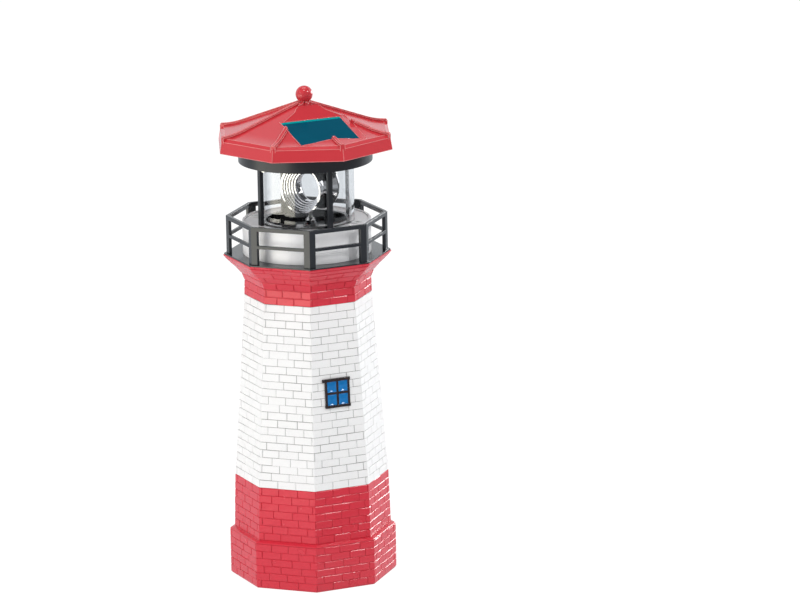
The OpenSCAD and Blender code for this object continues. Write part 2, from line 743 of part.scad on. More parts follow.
// Flat dark strip that holds the leads against the tube, at the back
module lead_sleeve() {
    sleeve_out = lead_y - lead_r - fit_gap;
    sleeve_z = drum_face + platform_t;
    color([0.13, 0.13, 0.14]) rotate([0, 0, lantern_turn]) intersection() {
        ring(sleeve_out, sleeve_out - 0.8, head_z - sleeve_z, sleeve_z);
        translate([-sleeve_w / 2, 0, sleeve_z]) cube([sleeve_w, 40, 60]);
    }
}

// Two leads from the circuit board, down behind the reflector, to the motor's terminals
module motor_leads() {
    end_z = plate_z - motor_l - 1.2;
    board_y = board_back - 1.5;
    for (sx = [-1, 1]) color(sx > 0 ? "firebrick" : [0.1, 0.1, 0.1])
        wire([
            [sx * lead_pitch, board_y, board_z + board_t],
            [sx * lead_pitch, board_y, board_z + board_t + 1.5],
            [sx * lead_pitch, lead_y, board_z + board_t + 1.5],
            [sx * lead_pitch, lead_y, end_z],
            [motor_at[0] + sx * lead_pitch, motor_at[1] + 2.6, end_z],
            [motor_at[0] + sx * lead_pitch, motor_at[1] + 2.6, plate_z - motor_l - 0.6]
        ], lead_r);
}

// ---------------------------------------------------------------- head

board_z = head_floor + 1.6;
board_t = 1.6;
board_w = 24;
board_back = 14.5;
cell_y = 23 - head_r;
cell_z = head_floor + 1.4 + cell_r;
holder_w = 2 * cell_r + 2;
board_front = cell_y + holder_w / 2 + 1.05;
contact_t = 0.5;
cell_end = cell_l / 2 + contact_t;
switch_turn = 45;
switch_at = (tube_r + head_r - head_wall) / 2;
slot_w = 1.9;
slider_l = 4.2;
stem_l = 2.4;

module at_switch() {
    rotate([0, 0, switch_turn]) translate([switch_at, 0, head_floor]) children();
}

// Black tray: the round collar under the roof, with the board, the cell and the switch in it
module head_tray() {
    color([0.16, 0.16, 0.17]) difference() {
        translate([0, 0, head_z]) cylinder(r = head_r, h = head_h);
        translate([0, 0, head_floor]) cylinder(r = head_r - head_wall, h = head_h);
        ring(tube_r + fit_gap, tube_r - tube_wall - fit_gap, 0.8 + 1, head_z - 1);
        at_spindle() translate([0, 0, head_z - 1]) cylinder(r = led_r + fit_gap, h = head_wall + 2, $fn = 48);
        around(roof_screw_turns, roof_screw_at)
            translate([0, 0, head_z - 1]) cylinder(r = screw_r + fit_gap, h = head_wall + 2, $fn = 32);
        at_switch() translate([-slot_w / 2, -(stem_l + switch_travel) / 2 - 0.3, -head_wall - 1])
            cube([slot_w, stem_l + switch_travel + 0.6, head_wall + 2]);
        translate([-2, lead_y - 1, head_z - 1]) cube([4, 2, head_wall + 2]);
    }
}

// Diode that hangs from the board and shines down into the reflector
module led() {
    tip_z = reflector_z + throat_r + 1;
    color([0.9, 0.93, 0.95, 0.7]) at_spindle() {
        translate([0, 0, tip_z + led_r]) cylinder(r = led_r, h = head_floor - tip_z - led_r, $fn = 48);
        translate([0, 0, tip_z + led_r]) sphere(r = led_r, $fn = 48);
        translate([0, 0, head_floor]) cylinder(r = led_r + 0.4, h = 1, $fn = 48);
        for (sx = [-1, 1]) translate([sx * 1.27 - 0.25, -0.25, head_floor])
            cube([0.5, 0.5, board_z - head_floor]);
    }
}

module circuit_board() {
    color("darkgreen") {
        translate([-board_w / 2, board_front, board_z]) cube([board_w, board_back - board_front, board_t]);
        translate([-6, 3, board_z + board_t - eps]) cube([5, 4, 1.6]);
        translate([5.5, 5.5, board_z + board_t - eps]) cylinder(r = 2.5, h = 3.2, $fn = 32);
        for (sx = [-1, 1]) translate([sx * (board_w / 2 - 2), board_back - 3, head_floor])
            cylinder(r = 1.4, h = board_z - head_floor + eps, $fn = 32);
    }
}

module battery() {
    color([0.2, 0.45, 0.25]) translate([0, cell_y, cell_z]) rotate([0, 90, 0]) {
        translate([0, 0, -cell_l / 2]) cylinder(r = cell_r, h = cell_l - 1);
        translate([0, 0, cell_l / 2 - 1 - eps]) cylinder(r = 1.9, h = 1 + eps, $fn = 32);
    }
}

// Cradle with two end walls that grip the contacts
module battery_holder() {
    end_t = 1.2;
    color([0.12, 0.12, 0.13]) difference() {
        translate([-cell_end - end_t, cell_y - holder_w / 2, head_floor])
            cube([2 * (cell_end + end_t), holder_w, cell_r + 3]);
        translate([-cell_end, cell_y, cell_z]) rotate([0, 90, 0])
            cylinder(r = cell_r + fit_gap, h = 2 * cell_end);
        translate([-cell_end, cell_y - cell_r, cell_z]) cube([2 * cell_end, 2 * cell_r, 20]);
    }
}

module battery_contacts() {
    color("gold") for (sx = [-1, 1])
        translate([sx * (cell_end - contact_t / 2), cell_y, cell_z])
            rotate([0, 90, 0]) cylinder(r = 3.6, h = contact_t - 0.04, center = true, $fn = 32);
}

// Slide switch over a slot in the tray's floor
module switch_body() {
    color("silver") at_switch() difference() {
        translate([-2, -4.3, 0]) cube([4, 8.6, 3.6]);
        translate([-1.3, -(slider_l + switch_travel) / 2 - 0.2, -1])
            cube([2.6, slider_l + switch_travel + 0.4, 3.4]);
    }
}

// Knob that is worked from below; it rests at the off end of its slot
module switch_knob() {
    color([0.1, 0.1, 0.1]) at_switch() translate([0, -switch_travel / 2, 0]) {
        translate([-1.1, -slider_l / 2, 0.1]) cube([2.2, slider_l, 1.9]);
        translate([-0.75, -stem_l / 2, -head_wall - 1.5]) cube([1.5, stem_l, head_wall + 1.6 + eps]);
    }
}

// Leads of the panel, the cell and the switch, laid over the tray
module head_leads() {
    over_z = cell_z + cell_r + 1.4;
    board_top = board_z + board_t;
    panel_lead_y = -26;
    at_r = switch_at - 2;
    switch_end = at_r * [cos(switch_turn), sin(switch_turn)];
    for (sx = [-1, 1]) color(sx > 0 ? "firebrick" : [0.1, 0.1, 0.1]) {
        wire([
            [sx * lead_pitch, panel_lead_y, panel_plane(panel_lead_y - lead_r) - bed_depth],
            [sx * lead_pitch, panel_lead_y, over_z],
            [sx * lead_pitch, board_front + 3, over_z],
            [sx * lead_pitch, board_front + 3, board_top]
        ], lead_r);
        wire([
            [sx * (cell_end + 1.8), cell_y, cell_z],
            [sx * (cell_end + 1.8), board_front + 4, cell_z],
            [sx * 9, board_front + 4, cell_z],
            [sx * 9, board_front + 4, board_top]
        ], lead_r);
        wire([
            [8.5 - sx, board_back - 1, board_top],
            [8.5 - sx, board_back - 1, board_top + 2],
            [8.5 - sx, switch_end[1] + sx, board_top + 2],
            [switch_end[0] - 1 - sx, switch_end[1] + sx, board_top + 2]
        ], lead_r);
    }
}

// ---------------------------------------------------------------- roof

// Height of a hip at corner radius r: straight from the neck, then curving flat to the eave
kick_r = roof_r - kick_w;
kick_z = roof_z + (hip_slope + eave_slope) / 2 * kick_w;
function hip_z(r) = r < kick_r ? kick_z + hip_slope * (kick_r - r)
    : roof_z + (roof_r - r) * (eave_slope + (hip_slope - eave_slope) * (roof_r - r) / kick_w / 2);
kick_steps = 6;
apex_r = 3;
hip_rs = concat(
    [for (i = [0 : kick_steps]) roof_r - margin_w - (kick_w - margin_w) * i / kick_steps],
    [apex_r]
);

roof_screw_at = head_r - head_wall - 3;
roof_screw_l = 9;
roof_boss_r = 2.8;
neck_boss_r = 3.4;
petal_r = 1.25;

// Plane of the panel's face, and of the steeper face that runs up to the neck behind it
panel_back_y = -pocket_y + panel_l * cos(panel_tilt);
panel_front_z = roof_z + 0.4;
function panel_plane(y) = panel_front_z + (y + pocket_y) * tan(panel_tilt);
back_slope = 0.97;
bed_depth = panel_t / cos(panel_tilt) + fit_gap;
neck_y = -4.5;
cut_top = 40;

// Side view, in Y and Z, of what the pocket cuts away
pocket_outline = [
    [-pocket_y, panel_plane(-pocket_y)],
    [panel_back_y, panel_plane(panel_back_y)],
    [neck_y, panel_plane(panel_back_y) + back_slope * (neck_y - panel_back_y)],
    [neck_y, roof_z + cut_top],
    [-pocket_y, roof_z + cut_top]
];

// Side view of the tray under the panel and of the sloping face behind it
tray_outline = [
    [-pocket_y - 1.4, panel_plane(-pocket_y - 1.4) - bed_depth - roof_wall],
    [panel_back_y + 1.2, panel_plane(panel_back_y) - bed_depth - roof_wall],
    [panel_back_y + 1.2, panel_plane(panel_back_y)],
    [-pocket_y - 1.4, panel_plane(-pocket_y - 1.4)]
];
back_outline = [
    [panel_back_y - 1, panel_plane(panel_back_y - 1) - 3],
    [neck_y, panel_plane(panel_back_y) + back_slope * (neck_y - panel_back_y) - 3],
    [neck_y, panel_plane(panel_back_y) + back_slope * (neck_y - panel_back_y)],
    [panel_back_y, panel_plane(panel_back_y)],
    [panel_back_y - 1, panel_plane(panel_back_y - 1)]
];

// A Y and Z outline, drawn out along X
module along_x(outline, w) {
    rotate([90, 0, 90]) translate([0, 0, -w / 2]) linear_extrude(w) polygon(outline);
}

module roof_solid(drop_r, drop_z, bottom) {
    octagon_turned(concat(
        [[0, bottom], [eave_r - drop_r, bottom], [roof_r - drop_r, roof_z - margin_h - drop_z]],
        [for (r = hip_rs) [max(r - drop_r, 0.4), hip_z(r) - drop_z]],
        [[0, hip_z(apex_r) - drop_z]]
    ), 0);
}

// A rib that follows a hip out to the fascia, in two steps so that its top is narrow
module hip_rib() {
    top = concat([[roof_r - 0.4, hip_z(roof_r)]], [for (r = hip_rs) [r, hip_z(r)]]);
    for (layer = [[rib_w, 0.55], [rib_w * 0.6, 1]])
        rotate([90, 0, 0]) translate([0, 0, -layer[0] / 2]) linear_extrude(layer[0])
            polygon(concat(
                [for (p = top) p + [0, rib_h * layer[1]]],
                [for (i = [len(top) - 1 : -1 : 0])
                    top[i] - [0, i > 0 ? roof_wall / 2 : roof_wall / 2 + margin_h]]
            ));
}

module roof() {
    color([0.84, 0.2, 0.22]) difference() {
        union() {
            difference() {
                union() {
                    roof_solid(0, 0, eave_z);
                    around([for (k = [0 : oct - 1]) 45 * k], 0) hip_rib();
                }
                roof_solid(roof_wall / flat_of_corner, roof_wall + 0.1, eave_z - 1);
                along_x(pocket_outline, pocket_w);
            }
            // tray for the panel, and the sloping face between it and the neck
            intersection() {
                union() {
                    along_x(tray_outline, pocket_w);
                    intersection() {
                        along_x(back_outline, pocket_w);
                        roof_solid(0, 0, eave_z);
                    }
                }
                roof_solid(0, -1.2, eave_z);
            }
            // bosses for the roof screws and for the finial's stud
            intersection() {
                around(roof_screw_turns, roof_screw_at) translate([0, 0, head_floor])
                    cylinder(r = roof_boss_r, h = 30, $fn = 48);
                roof_solid(1, 1, head_floor);
            }
            translate([0, 0, hip_z(apex_r) - 5]) cylinder(r = neck_boss_r, h = 5, $fn = 48);
            // petals round the neck
            around([for (k = [0 : oct - 1]) 45 * k], neck_boss_r) {
                translate([0, 0, hip_z(apex_r) - 3.2]) cylinder(r = petal_r, h = 3, $fn = 24);
                for (z = [-3.2, -0.2]) translate([0, 0, hip_z(apex_r) + z]) sphere(r = petal_r, $fn = 24);
            }
        }
        // recess for the panel, a hole for its leads, screw holes and the stud's hole
        translate([-panel_shift, 0, 0]) along_x([
            [-pocket_y - fit_gap, panel_plane(-pocket_y) - bed_depth],
            [panel_back_y, panel_plane(panel_back_y) - bed_depth],
            [panel_back_y - 0.3, panel_plane(panel_back_y) + 0.6],
            [-pocket_y - fit_gap, panel_plane(-pocket_y) + 0.6]
        ], panel_w + 2 * fit_gap);
        translate([-3, -27.5, roof_z - 6]) cube([6, 3, 12]);
        around(roof_screw_turns, roof_screw_at) translate([0, 0, head_floor - 1])
            cylinder(r = screw_r + running_gap, h = roof_screw_l + 2, $fn = 32);
        translate([0, 0, hip_z(apex_r) - 8]) cylinder(r = 1.6 + running_gap, h = 12, $fn = 32);
    }
}

module roof_screws() {
    color("silver") around(roof_screw_turns, roof_screw_at)
        translate([0, 0, head_z]) mirror([0, 0, 1]) screw(screw_r, roof_screw_l, screw_head_r, screw_head_h);
}

// Laminated solar cell in its recess
module solar_panel() {
    color([0.02, 0.33, 0.42]) translate([-panel_shift, -pocket_y, panel_plane(-pocket_y)])
        rotate([panel_tilt, 0, 0]) translate([-panel_w / 2, 0.1, -panel_t])
            cube([panel_w, panel_l - 0.6, panel_t]);
}

// Ball on a short neck with a stud that is glued into the roof
module finial() {
    neck_z0 = hip_z(apex_r);
    ball_z = neck_z0 + ball_r + 0.05;
    color([0.84, 0.2, 0.22]) {
        translate([0, 0, ball_z]) sphere(r = ball_r);
        translate([0, 0, neck_z0]) cylinder(r = neck_boss_r - petal_r - fit_gap, h = 1.6, $fn = 48);
        translate([0, 0, neck_z0 - 5]) cylinder(r = 1.6, h = 5 + eps, $fn = 32);
    }
}

tower_shell();
base_cover();
cover_screws();
window_frame();
window_panes();
gallery_deck();
gallery_railing();
drum();
drive_base();
drum_screws();
gear_plate();
gear_plate_screws();
motor();
motor_shaft();
motor_pinion();
idler_axle();
idler_gear();
spindle_gear();
spindle();
drip_skirt();
reflector();
platform();
clear_tube();
lantern_pillars();
lead_sleeve();
motor_leads();
head_tray();
led();
circuit_board();
battery();
battery_holder();
battery_contacts();
switch_body();
switch_knob();
head_leads();
roof();
roof_screws();
solar_panel();
finial();
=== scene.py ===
"""Solar garden lighthouse: a brick tower with a gallery, a glazed lantern with a turning
reflector, and a roof with a solar panel. Metres, +Z up, the window and the panel face -Y."""
import bpy
import bmesh
import math
import random
from mathutils import Matrix, Quaternion, Vector


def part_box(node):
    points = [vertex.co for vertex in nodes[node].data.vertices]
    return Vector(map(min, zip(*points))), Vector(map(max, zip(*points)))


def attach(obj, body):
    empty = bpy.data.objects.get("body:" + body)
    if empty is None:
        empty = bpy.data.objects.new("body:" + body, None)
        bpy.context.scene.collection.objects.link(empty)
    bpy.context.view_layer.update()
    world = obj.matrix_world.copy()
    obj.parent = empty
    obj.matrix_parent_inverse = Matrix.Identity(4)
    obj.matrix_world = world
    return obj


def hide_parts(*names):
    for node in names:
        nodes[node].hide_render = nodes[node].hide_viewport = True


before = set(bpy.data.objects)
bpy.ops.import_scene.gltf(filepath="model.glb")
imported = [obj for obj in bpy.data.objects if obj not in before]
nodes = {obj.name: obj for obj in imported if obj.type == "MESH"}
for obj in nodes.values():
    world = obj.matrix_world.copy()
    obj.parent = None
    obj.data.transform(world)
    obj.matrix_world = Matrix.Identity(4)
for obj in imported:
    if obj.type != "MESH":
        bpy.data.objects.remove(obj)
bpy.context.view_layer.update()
scene = bpy.context.scene
scene.view_settings.view_transform = "Standard"
mm = 0.001

# ------------------------------------------------------------------ camera
# A long lens, a little above the gallery and round to the left of the window's facet.
# The tower's axis stands left of the middle of the frame and leans by a degree.
aim = Vector((0, 0, 140 * mm))
bearing = math.radians(24.2)
lift = math.radians(14)
away = 3.0
picture_w, lens_px = 800, 5340
right_of_aim_px, above_aim_px = 91, 30
roll = math.radians(-1.2)
camera_data = bpy.data.cameras.new("camera")
camera_data.sensor_width = 36
camera_data.lens = lens_px / picture_w * camera_data.sensor_width
camera_data.clip_end = 50
camera = bpy.data.objects.new("camera", camera_data)
scene.collection.objects.link(camera)
camera.location = aim + away * Vector((-math.sin(bearing) * math.cos(lift),
                                       -math.cos(bearing) * math.cos(lift), math.sin(lift)))
look = (aim - camera.location).to_track_quat("-Z", "Y")
look = look @ Quaternion((0, 0, 1), roll)
look = look @ Quaternion((0, 1, 0), -math.atan(right_of_aim_px / lens_px))
look = look @ Quaternion((1, 0, 0), math.atan(above_aim_px / lens_px))
camera.rotation_mode = "QUATERNION"
camera.rotation_quaternion = look
scene.camera = camera

# ------------------------------------------------------------------ studio
# White backdrop and a pale floor that keeps the ornament's soft shadow. Six soft boxes stand
# clear of the picture: a warm key to the left, a rim to the right, one above, and small ones.


def add_node(tree, kind, inputs=None, **settings):
    """A new node; its inputs, by name or number, take sockets, nodes or plain values."""
    made = tree.nodes.new(kind)
    for label, value in settings.items():
        setattr(made, label, value)
    for label, value in (inputs or {}).items():
        if isinstance(value, bpy.types.Node):
            value = value.outputs[0]
        if isinstance(value, bpy.types.NodeSocket):
            tree.links.new(value, made.inputs[label])
        else:
            made.inputs[label].default_value = value
    return made


def maths(tree, operation, *values, clamp=False):
    return add_node(tree, "ShaderNodeMath", dict(enumerate(values)), operation=operation,
                    use_clamp=clamp).outputs[0]


def vector_maths(tree, operation, *values):
    made = add_node(tree, "ShaderNodeVectorMath", dict(enumerate(values)), operation=operation)
    return made.outputs["Value" if operation in ("DOT_PRODUCT", "LENGTH") else "Vector"]


def soft_step(tree, value, low, high, at_low, at_high):
    return add_node(tree, "ShaderNodeMapRange",
                    {"Value": value, "From Min": low, "From Max": high, "To Min": at_low,
                     "To Max": at_high}, interpolation_type="SMOOTHSTEP").outputs["Result"]


def mixed(tree, share, first, second):
    return add_node(tree, "ShaderNodeMixShader", {0: share, 1: first, 2: second})


def ray_kinds(tree):
    """Masks for rays that show the backdrop and for mirrored ones, also through the tube."""
    path = add_node(tree, "ShaderNodeLightPath").outputs
    crossed = maths(tree, "MULTIPLY", path["Is Transmission Ray"],
                    maths(tree, "MINIMUM", path["Glossy Depth"], 1.0))
    mirrored = maths(tree, "MAXIMUM", path["Is Glossy Ray"], crossed)
    shown = maths(tree, "MAXIMUM", path["Is Camera Ray"], path["Is Transmission Ray"])
    return maths(tree, "SUBTRACT", shown, mirrored, clamp=True), mirrored


def new_material(name):
    mat = bpy.data.materials.new(name)
    mat.use_nodes = True
    mat.node_tree.nodes.clear()
    return mat, mat.node_tree


world = bpy.data.worlds.new("studio")
scene.world = world
world.use_nodes = True
sky = world.node_tree
sky.nodes.clear()
sky_shown, sky_mirrored = ray_kinds(sky)
soft = add_node(sky, "ShaderNodeBackground", {"Color": (0.97, 0.985, 1.0, 1), "Strength": 0.50})
# what glossy surfaces see: a white backdrop behind, pale sides with a duller patch on the left,
# a dim front and a dim ceiling
toward = add_node(sky, "ShaderNodeTexCoord").outputs["Generated"]
height = add_node(sky, "ShaderNodeSeparateXYZ", {0: toward}).outputs["Z"]
front = soft_step(sky, vector_maths(sky, "DOT_PRODUCT", toward, (0.30, -0.95, 0.10)),
                  -0.1, 0.75, 0.95, 0.32)
ceiling = soft_step(sky, height, 0.50, 0.85, 1.0, 0.22)
patch = soft_step(sky, vector_maths(sky, "DOT_PRODUCT", toward, (-0.98, -0.06, 0.18)),
                  0.80, 0.95, 1.0, 0.8)
mirror_level = maths(sky, "MULTIPLY", maths(sky, "MULTIPLY", front, ceiling), patch)
mirror = add_node(sky, "ShaderNodeBackground",
                  {"Color": (0.93, 0.965, 1.0, 1), "Strength": mirror_level})
white = add_node(sky, "ShaderNodeBackground", {"Color": (1, 1, 1, 1), "Strength": 1.0})
unshown = mixed(sky, sky_mirrored, soft, mirror)
add_node(sky, "ShaderNodeOutputWorld", {"Surface": mixed(sky, sky_shown, unshown, white)})

reach, floor_drop = 4.0, 0.0002
floor_mesh = bpy.data.meshes.new("floor")
floor_mesh.from_pydata([(x, y, -floor_drop) for x, y in ((-reach, -reach), (reach, -reach),
                                                         (reach, reach), (-reach, reach))],
                       [], [(0, 1, 2, 3)])
floor = bpy.data.objects.new("floor", floor_mesh)
scene.collection.objects.link(floor)
paper, sheet = new_material("floor_paper")
sheet_shown, sheet_mirrored = ray_kinds(sheet)
shadowed = add_node(sheet, "ShaderNodeBsdfDiffuse", {"Color": (0.9, 0.9, 0.9, 1)})
glowing = add_node(sheet, "ShaderNodeEmission", {"Color": (1, 1, 1, 1), "Strength": 1.11})
seen_floor = mixed(sheet, maths(sheet, "MULTIPLY", sheet_shown, 0.85), shadowed, glowing)
# glossy surfaces see the floor pale behind and beside the ornament, dim in front of it, and a
# bright warm sector to the left, which the clear tube and the left sides mirror
spot = add_node(sheet, "ShaderNodeTexCoord").outputs["Object"]
unit = vector_maths(sheet, "NORMALIZE", spot)
parts = add_node(sheet, "ShaderNodeSeparateXYZ", {0: spot}).outputs
far = vector_maths(sheet, "LENGTH", spot)
level = soft_step(sheet, vector_maths(sheet, "DOT_PRODUCT", unit, (0.40, -0.917, 0)),
                  0.2, 0.85, 0.85, 0.16)
level = maths(sheet, "MAXIMUM", level, soft_step(sheet, far, 0.55, 0.8, 0, 0.5))
level = maths(sheet, "MAXIMUM", level, soft_step(sheet, far, 0.09, 0.16, 0.8, 0))
floor_bearing = maths(sheet, "ARCTAN2", parts["X"], maths(sheet, "MULTIPLY", parts["Y"], -1.0))
right_end = soft_step(sheet, floor_bearing, math.radians(-54), math.radians(-51), 1, 0)
left_end = soft_step(sheet, floor_bearing, math.radians(-128), math.radians(-108), 0, 1)
warm_sector = maths(sheet, "MULTIPLY", maths(sheet, "MULTIPLY", right_end, left_end),
                    soft_step(sheet, far, 0.25, 0.45, 0, 1))
cool = add_node(sheet, "ShaderNodeEmission", {"Color": (0.90, 0.95, 1.0, 1), "Strength": level})
warm = add_node(sheet, "ShaderNodeEmission", {"Color": (1.0, 0.98, 0.86, 1), "Strength": 3.6})
mirrored_floor = mixed(sheet, warm_sector, cool, warm)
add_node(sheet, "ShaderNodeOutputMaterial",
         {"Surface": mixed(sheet, sheet_mirrored, seen_floor, mirrored_floor)})
floor_mesh.materials.append(paper)


def soft_box(name, bearing_deg, height, distance, size, power, tint=(1.0, 1.0, 1.0)):
    """An area lamp at a compass bearing from -Y, positive towards +X, aimed at the lantern."""
    data = bpy.data.lights.new(name, "AREA")
    data.shape = "RECTANGLE"
    data.size, data.size_y = size
    data.energy = power
    data.color = tint
    lamp = bpy.data.objects.new(name, data)
    scene.collection.objects.link(lamp)
    a = math.radians(bearing_deg)
    lamp.location = (distance * math.sin(a), -distance * math.cos(a), height)
    lamp.rotation_mode = "QUATERNION"
    lamp.rotation_quaternion = (Vector((0, 0, 0.15)) - lamp.location).to_track_quat("-Z", "Y")
    return lamp


key_box = soft_box("key_box", -88, 0.60, 1.5, (1.0, 1.0), 11.5, (1.0, 0.98, 0.94))
key_box.visible_glossy = key_box.visible_transmission = False
soft_box("rim_box", 88, 0.7, 1.4, (0.5, 1.1), 3.0, (0.96, 0.98, 1.0))
soft_box("top_box", 170, 1.6, 0.25, (0.8, 0.8), 5.5)
soft_box("brow_box", -20, 1.55, 0.76, (0.6, 0.2), 3)
soft_box("spark_box", 32, 0.99, 1.04, (0.22, 0.22), 4.6)
soft_box("back_spark_box", 112, 0.30, 1.3, (0.3, 0.3), 5)

# ------------------------------------------------------------------ tower
# One hollow moulding with a brick relief, painted in three zones: coral red plinth and lower
# band, white middle, coral red neck and flare. Bricks are laid in courses that run round the
# corners, with thin engraved joints that the paint has filled here and there.


def surface_group():
    """Shared effect: slow colour drift, fine speckle and relief of a painted or moulded face."""
    tree = bpy.data.node_groups.new("moulded_surface", "ShaderNodeTree")
    face = tree.interface
    for label, kind, value in (("Colour", "Color", (0.8, 0.8, 0.8, 1)),
                               ("Second Colour", "Color", (0.7, 0.7, 0.7, 1)),
                               ("Drift", "Float", 0.3), ("Drift Scale", "Float", 60.0),
                               ("Speckle", "Float", 0.1), ("Speckle Scale", "Float", 1500.0),
                               ("Stretch", "Vector", (1, 1, 1)), ("Roughness", "Float", 0.4),
                               ("Roughness Drift", "Float", 0.1)):
        sock = face.new_socket(label, in_out="INPUT", socket_type="NodeSocket" + kind)
        sock.default_value = value
    for label, kind in (("Colour", "Color"), ("Roughness", "Float"), ("Height", "Float")):
        face.new_socket(label, in_out="OUTPUT", socket_type="NodeSocket" + kind)
    given = add_node(tree, "NodeGroupInput").outputs
    place = add_node(tree, "ShaderNodeTexCoord").outputs["Object"]
    grain = vector_maths(tree, "MULTIPLY", place, given["Stretch"])
    # each noise is centred on nought and spread before its share is taken
    noises, shares = [], []
    for amount, detail in (("Drift", 3), ("Speckle", 4)):
        noise = add_node(tree, "ShaderNodeTexNoise", {
            "Vector": grain, "Scale": given[amount + " Scale"], "Detail": detail}).outputs["Fac"]
        spread = maths(tree, "MULTIPLY", maths(tree, "SUBTRACT", noise, 0.5), 3.0)
        noises.append(noise)
        shares.append(maths(tree, "MULTIPLY", spread, given[amount]))
    slow, fine = noises
    blend = add_node(tree, "ShaderNodeMix", {
        "Factor": maths(tree, "ADD", *shares, clamp=True), 6: given["Colour"],
        7: given["Second Colour"]}, data_type="RGBA")
    rough = maths(tree, "MULTIPLY_ADD", maths(tree, "SUBTRACT", slow, 0.5),
                  given["Roughness Drift"], given["Roughness"])
    add_node(tree, "NodeGroupOutput",
             {"Colour": blend.outputs[2], "Roughness": rough, "Height": fine})
    return tree


moulded_surface = surface_group()


def finish(name, colour, second, roughness, drift=0.3, drift_scale=60.0, speckle=0.1,
           speckle_scale=1500.0, rough_drift=0.1, relief=0.00002, metallic=0.0, coat=0.0,
           specular=0.5, stretch=(1, 1, 1), clearness=0.0):
    """A painted, moulded, plated or clear finish on the shared surface group."""
    mat, tree = new_material(name)
    surface = add_node(tree, "ShaderNodeGroup", {
        "Colour": (*colour, 1), "Second Colour": (*second, 1), "Drift": drift,
        "Drift Scale": drift_scale, "Speckle": speckle, "Speckle Scale": speckle_scale,
        "Stretch": stretch, "Roughness": roughness, "Roughness Drift": rough_drift},
        node_tree=moulded_surface).outputs
    shader = add_node(tree, "ShaderNodeBsdfPrincipled", {
        "Base Color": surface["Colour"], "Roughness": surface["Roughness"],
        "Metallic": metallic, "Coat Weight": coat, "Coat Roughness": 0.1,
        "Specular IOR Level": specular, "Transmission Weight": clearness})
    if relief:
        bump = add_node(tree, "ShaderNodeBump", {"Strength": 1.0, "Distance": relief,
                                                 "Height": surface["Height"]})
        tree.links.new(bump.outputs["Normal"], shader.inputs["Normal"])
    if clearness:
        shader.inputs["IOR"].default_value = 1.49
    add_node(tree, "ShaderNodeOutputMaterial", {"Surface": shader})
    return mat


def add_piece(name, mesh, *materials):
    obj = bpy.data.objects.new(name, mesh)
    scene.collection.objects.link(obj)
    for material in materials:
        mesh.materials.append(material)
    return obj


def settled(obj):
    """Applies the live modifiers: the evaluated mesh takes the old one's place."""
    bpy.context.view_layer.update()
    deps = bpy.context.evaluated_depsgraph_get()
    mesh = bpy.data.meshes.new_from_object(obj.evaluated_get(deps))
    obj.modifiers.clear()
    old = obj.data
    obj.data = mesh
    bpy.data.meshes.remove(old)
    mesh.name = obj.name
    return obj


def poured(bm, mesh):
    bm.to_mesh(mesh)
    bm.free()
    return mesh


def shaded(mesh, sharp_deg):
    mesh.shade_smooth()
    mesh.set_sharp_from_angle(angle=math.radians(sharp_deg))


def set_input(modifier, tree, label, value):
    for item in tree.interface.items_tree:
        if item.item_type == "SOCKET" and item.in_out == "INPUT" and item.name == label:
            modifier[item.identifier] = value
            return
    raise KeyError(label)


# corner radii and heights of the tower's outside, in millimetres
plinth_r, band_r, white_r, neck_r, flare_r, deck_r = 46.9, 44.2, 43.3, 35.8, 35.5, 47.3
plinth_top, band_bottom = 26.3, 27
white_bottom, white_top = 57.6, 161.8
flare_bottom, deck_underside = 170.2, 184.9
flare_h = deck_underside - flare_bottom
half_facet = math.radians(22.5)


def flare_radius(t):
    return flare_r + (deck_r - flare_r) * (2.2 * t * t - 1.2 * t ** 3)


def tower_radius(z):
    """Corner radius of the tower's outside, in millimetres."""
    if z < plinth_top:
        return plinth_r
    if z < white_bottom:
        return band_r + (white_r - band_r) * (z - band_bottom) / (white_bottom - band_bottom)
    if z < white_top:
        return white_r + (neck_r - white_r) * (z - white_bottom) / (white_top - white_bottom)
    if z < flare_bottom:
        return neck_r + (flare_r - neck_r) * (z - white_top) / (flare_bottom - white_top)
    return flare_radius((z - flare_bottom) / flare_h)


def corner(i, r, z):
    a = math.radians(-112.5 + 45 * i)
    return Vector((r * math.cos(a), r * math.sin(a), z)) * mm


def evenly(low, high, count):
    return [low + (high - low) * i / count for i in range(count + 1)]


window_half = (7.5, 8.0)
window_z = 112.0
frame_cover = 0.7
lay = random.Random(11)


def course_quads(z0, z1, bricks, shift):
    """Bricks of one course, as quads that stop at the corners and carry where they have a joint."""
    quads = []
    ends = [(k + shift + lay.uniform(-0.1, 0.1)) * 8 / bricks for k in range(bricks + 1)]
    ends[-1] = ends[0] + 8
    for k in range(bricks):
        a, b = ends[k], ends[k + 1]
        while a < b - 1e-6:
            facet = math.floor(a + 1e-6)
            stop = min(b, facet + 1)
            quads.append((facet % 8, a - facet, stop - facet, a == ends[k], stop == b, z0, z1))
            a = stop
    return quads


def cut_round_window(quad):
    """Splits a quad of the window's facet round the opening; cut edges have no joint."""
    facet, a, b, joint_a, joint_b, z0, z1 = quad
    width = 2 * tower_radius(window_z) * math.sin(half_facet)
    left = 0.5 - (window_half[0] - frame_cover) / width
    right = 0.5 + (window_half[0] - frame_cover) / width
    low = window_z - window_half[1] + frame_cover
    high = window_z + window_half[1] - frame_cover
    if facet != 0 or b <= left or a >= right or z1 <= low or z0 >= high:
        return [(facet, a, b, joint_a, joint_b, True, True, z0, z1)]
    rest = []
    if a < left:
        rest.append((facet, a, left, joint_a, False, True, True, z0, z1))
    if b > right:
        rest.append((facet, right, b, False, joint_b, True, True, z0, z1))
    m, n = max(a, left), min(b, right)
    joint_m, joint_n = joint_a and a >= left, joint_b and b <= right
    if z0 < low:
        rest.append((facet, m, n, joint_m, joint_n, True, False, z0, low))
    if z1 > high:
        rest.append((facet, m, n, joint_m, joint_n, False, True, high, z1))
    return rest


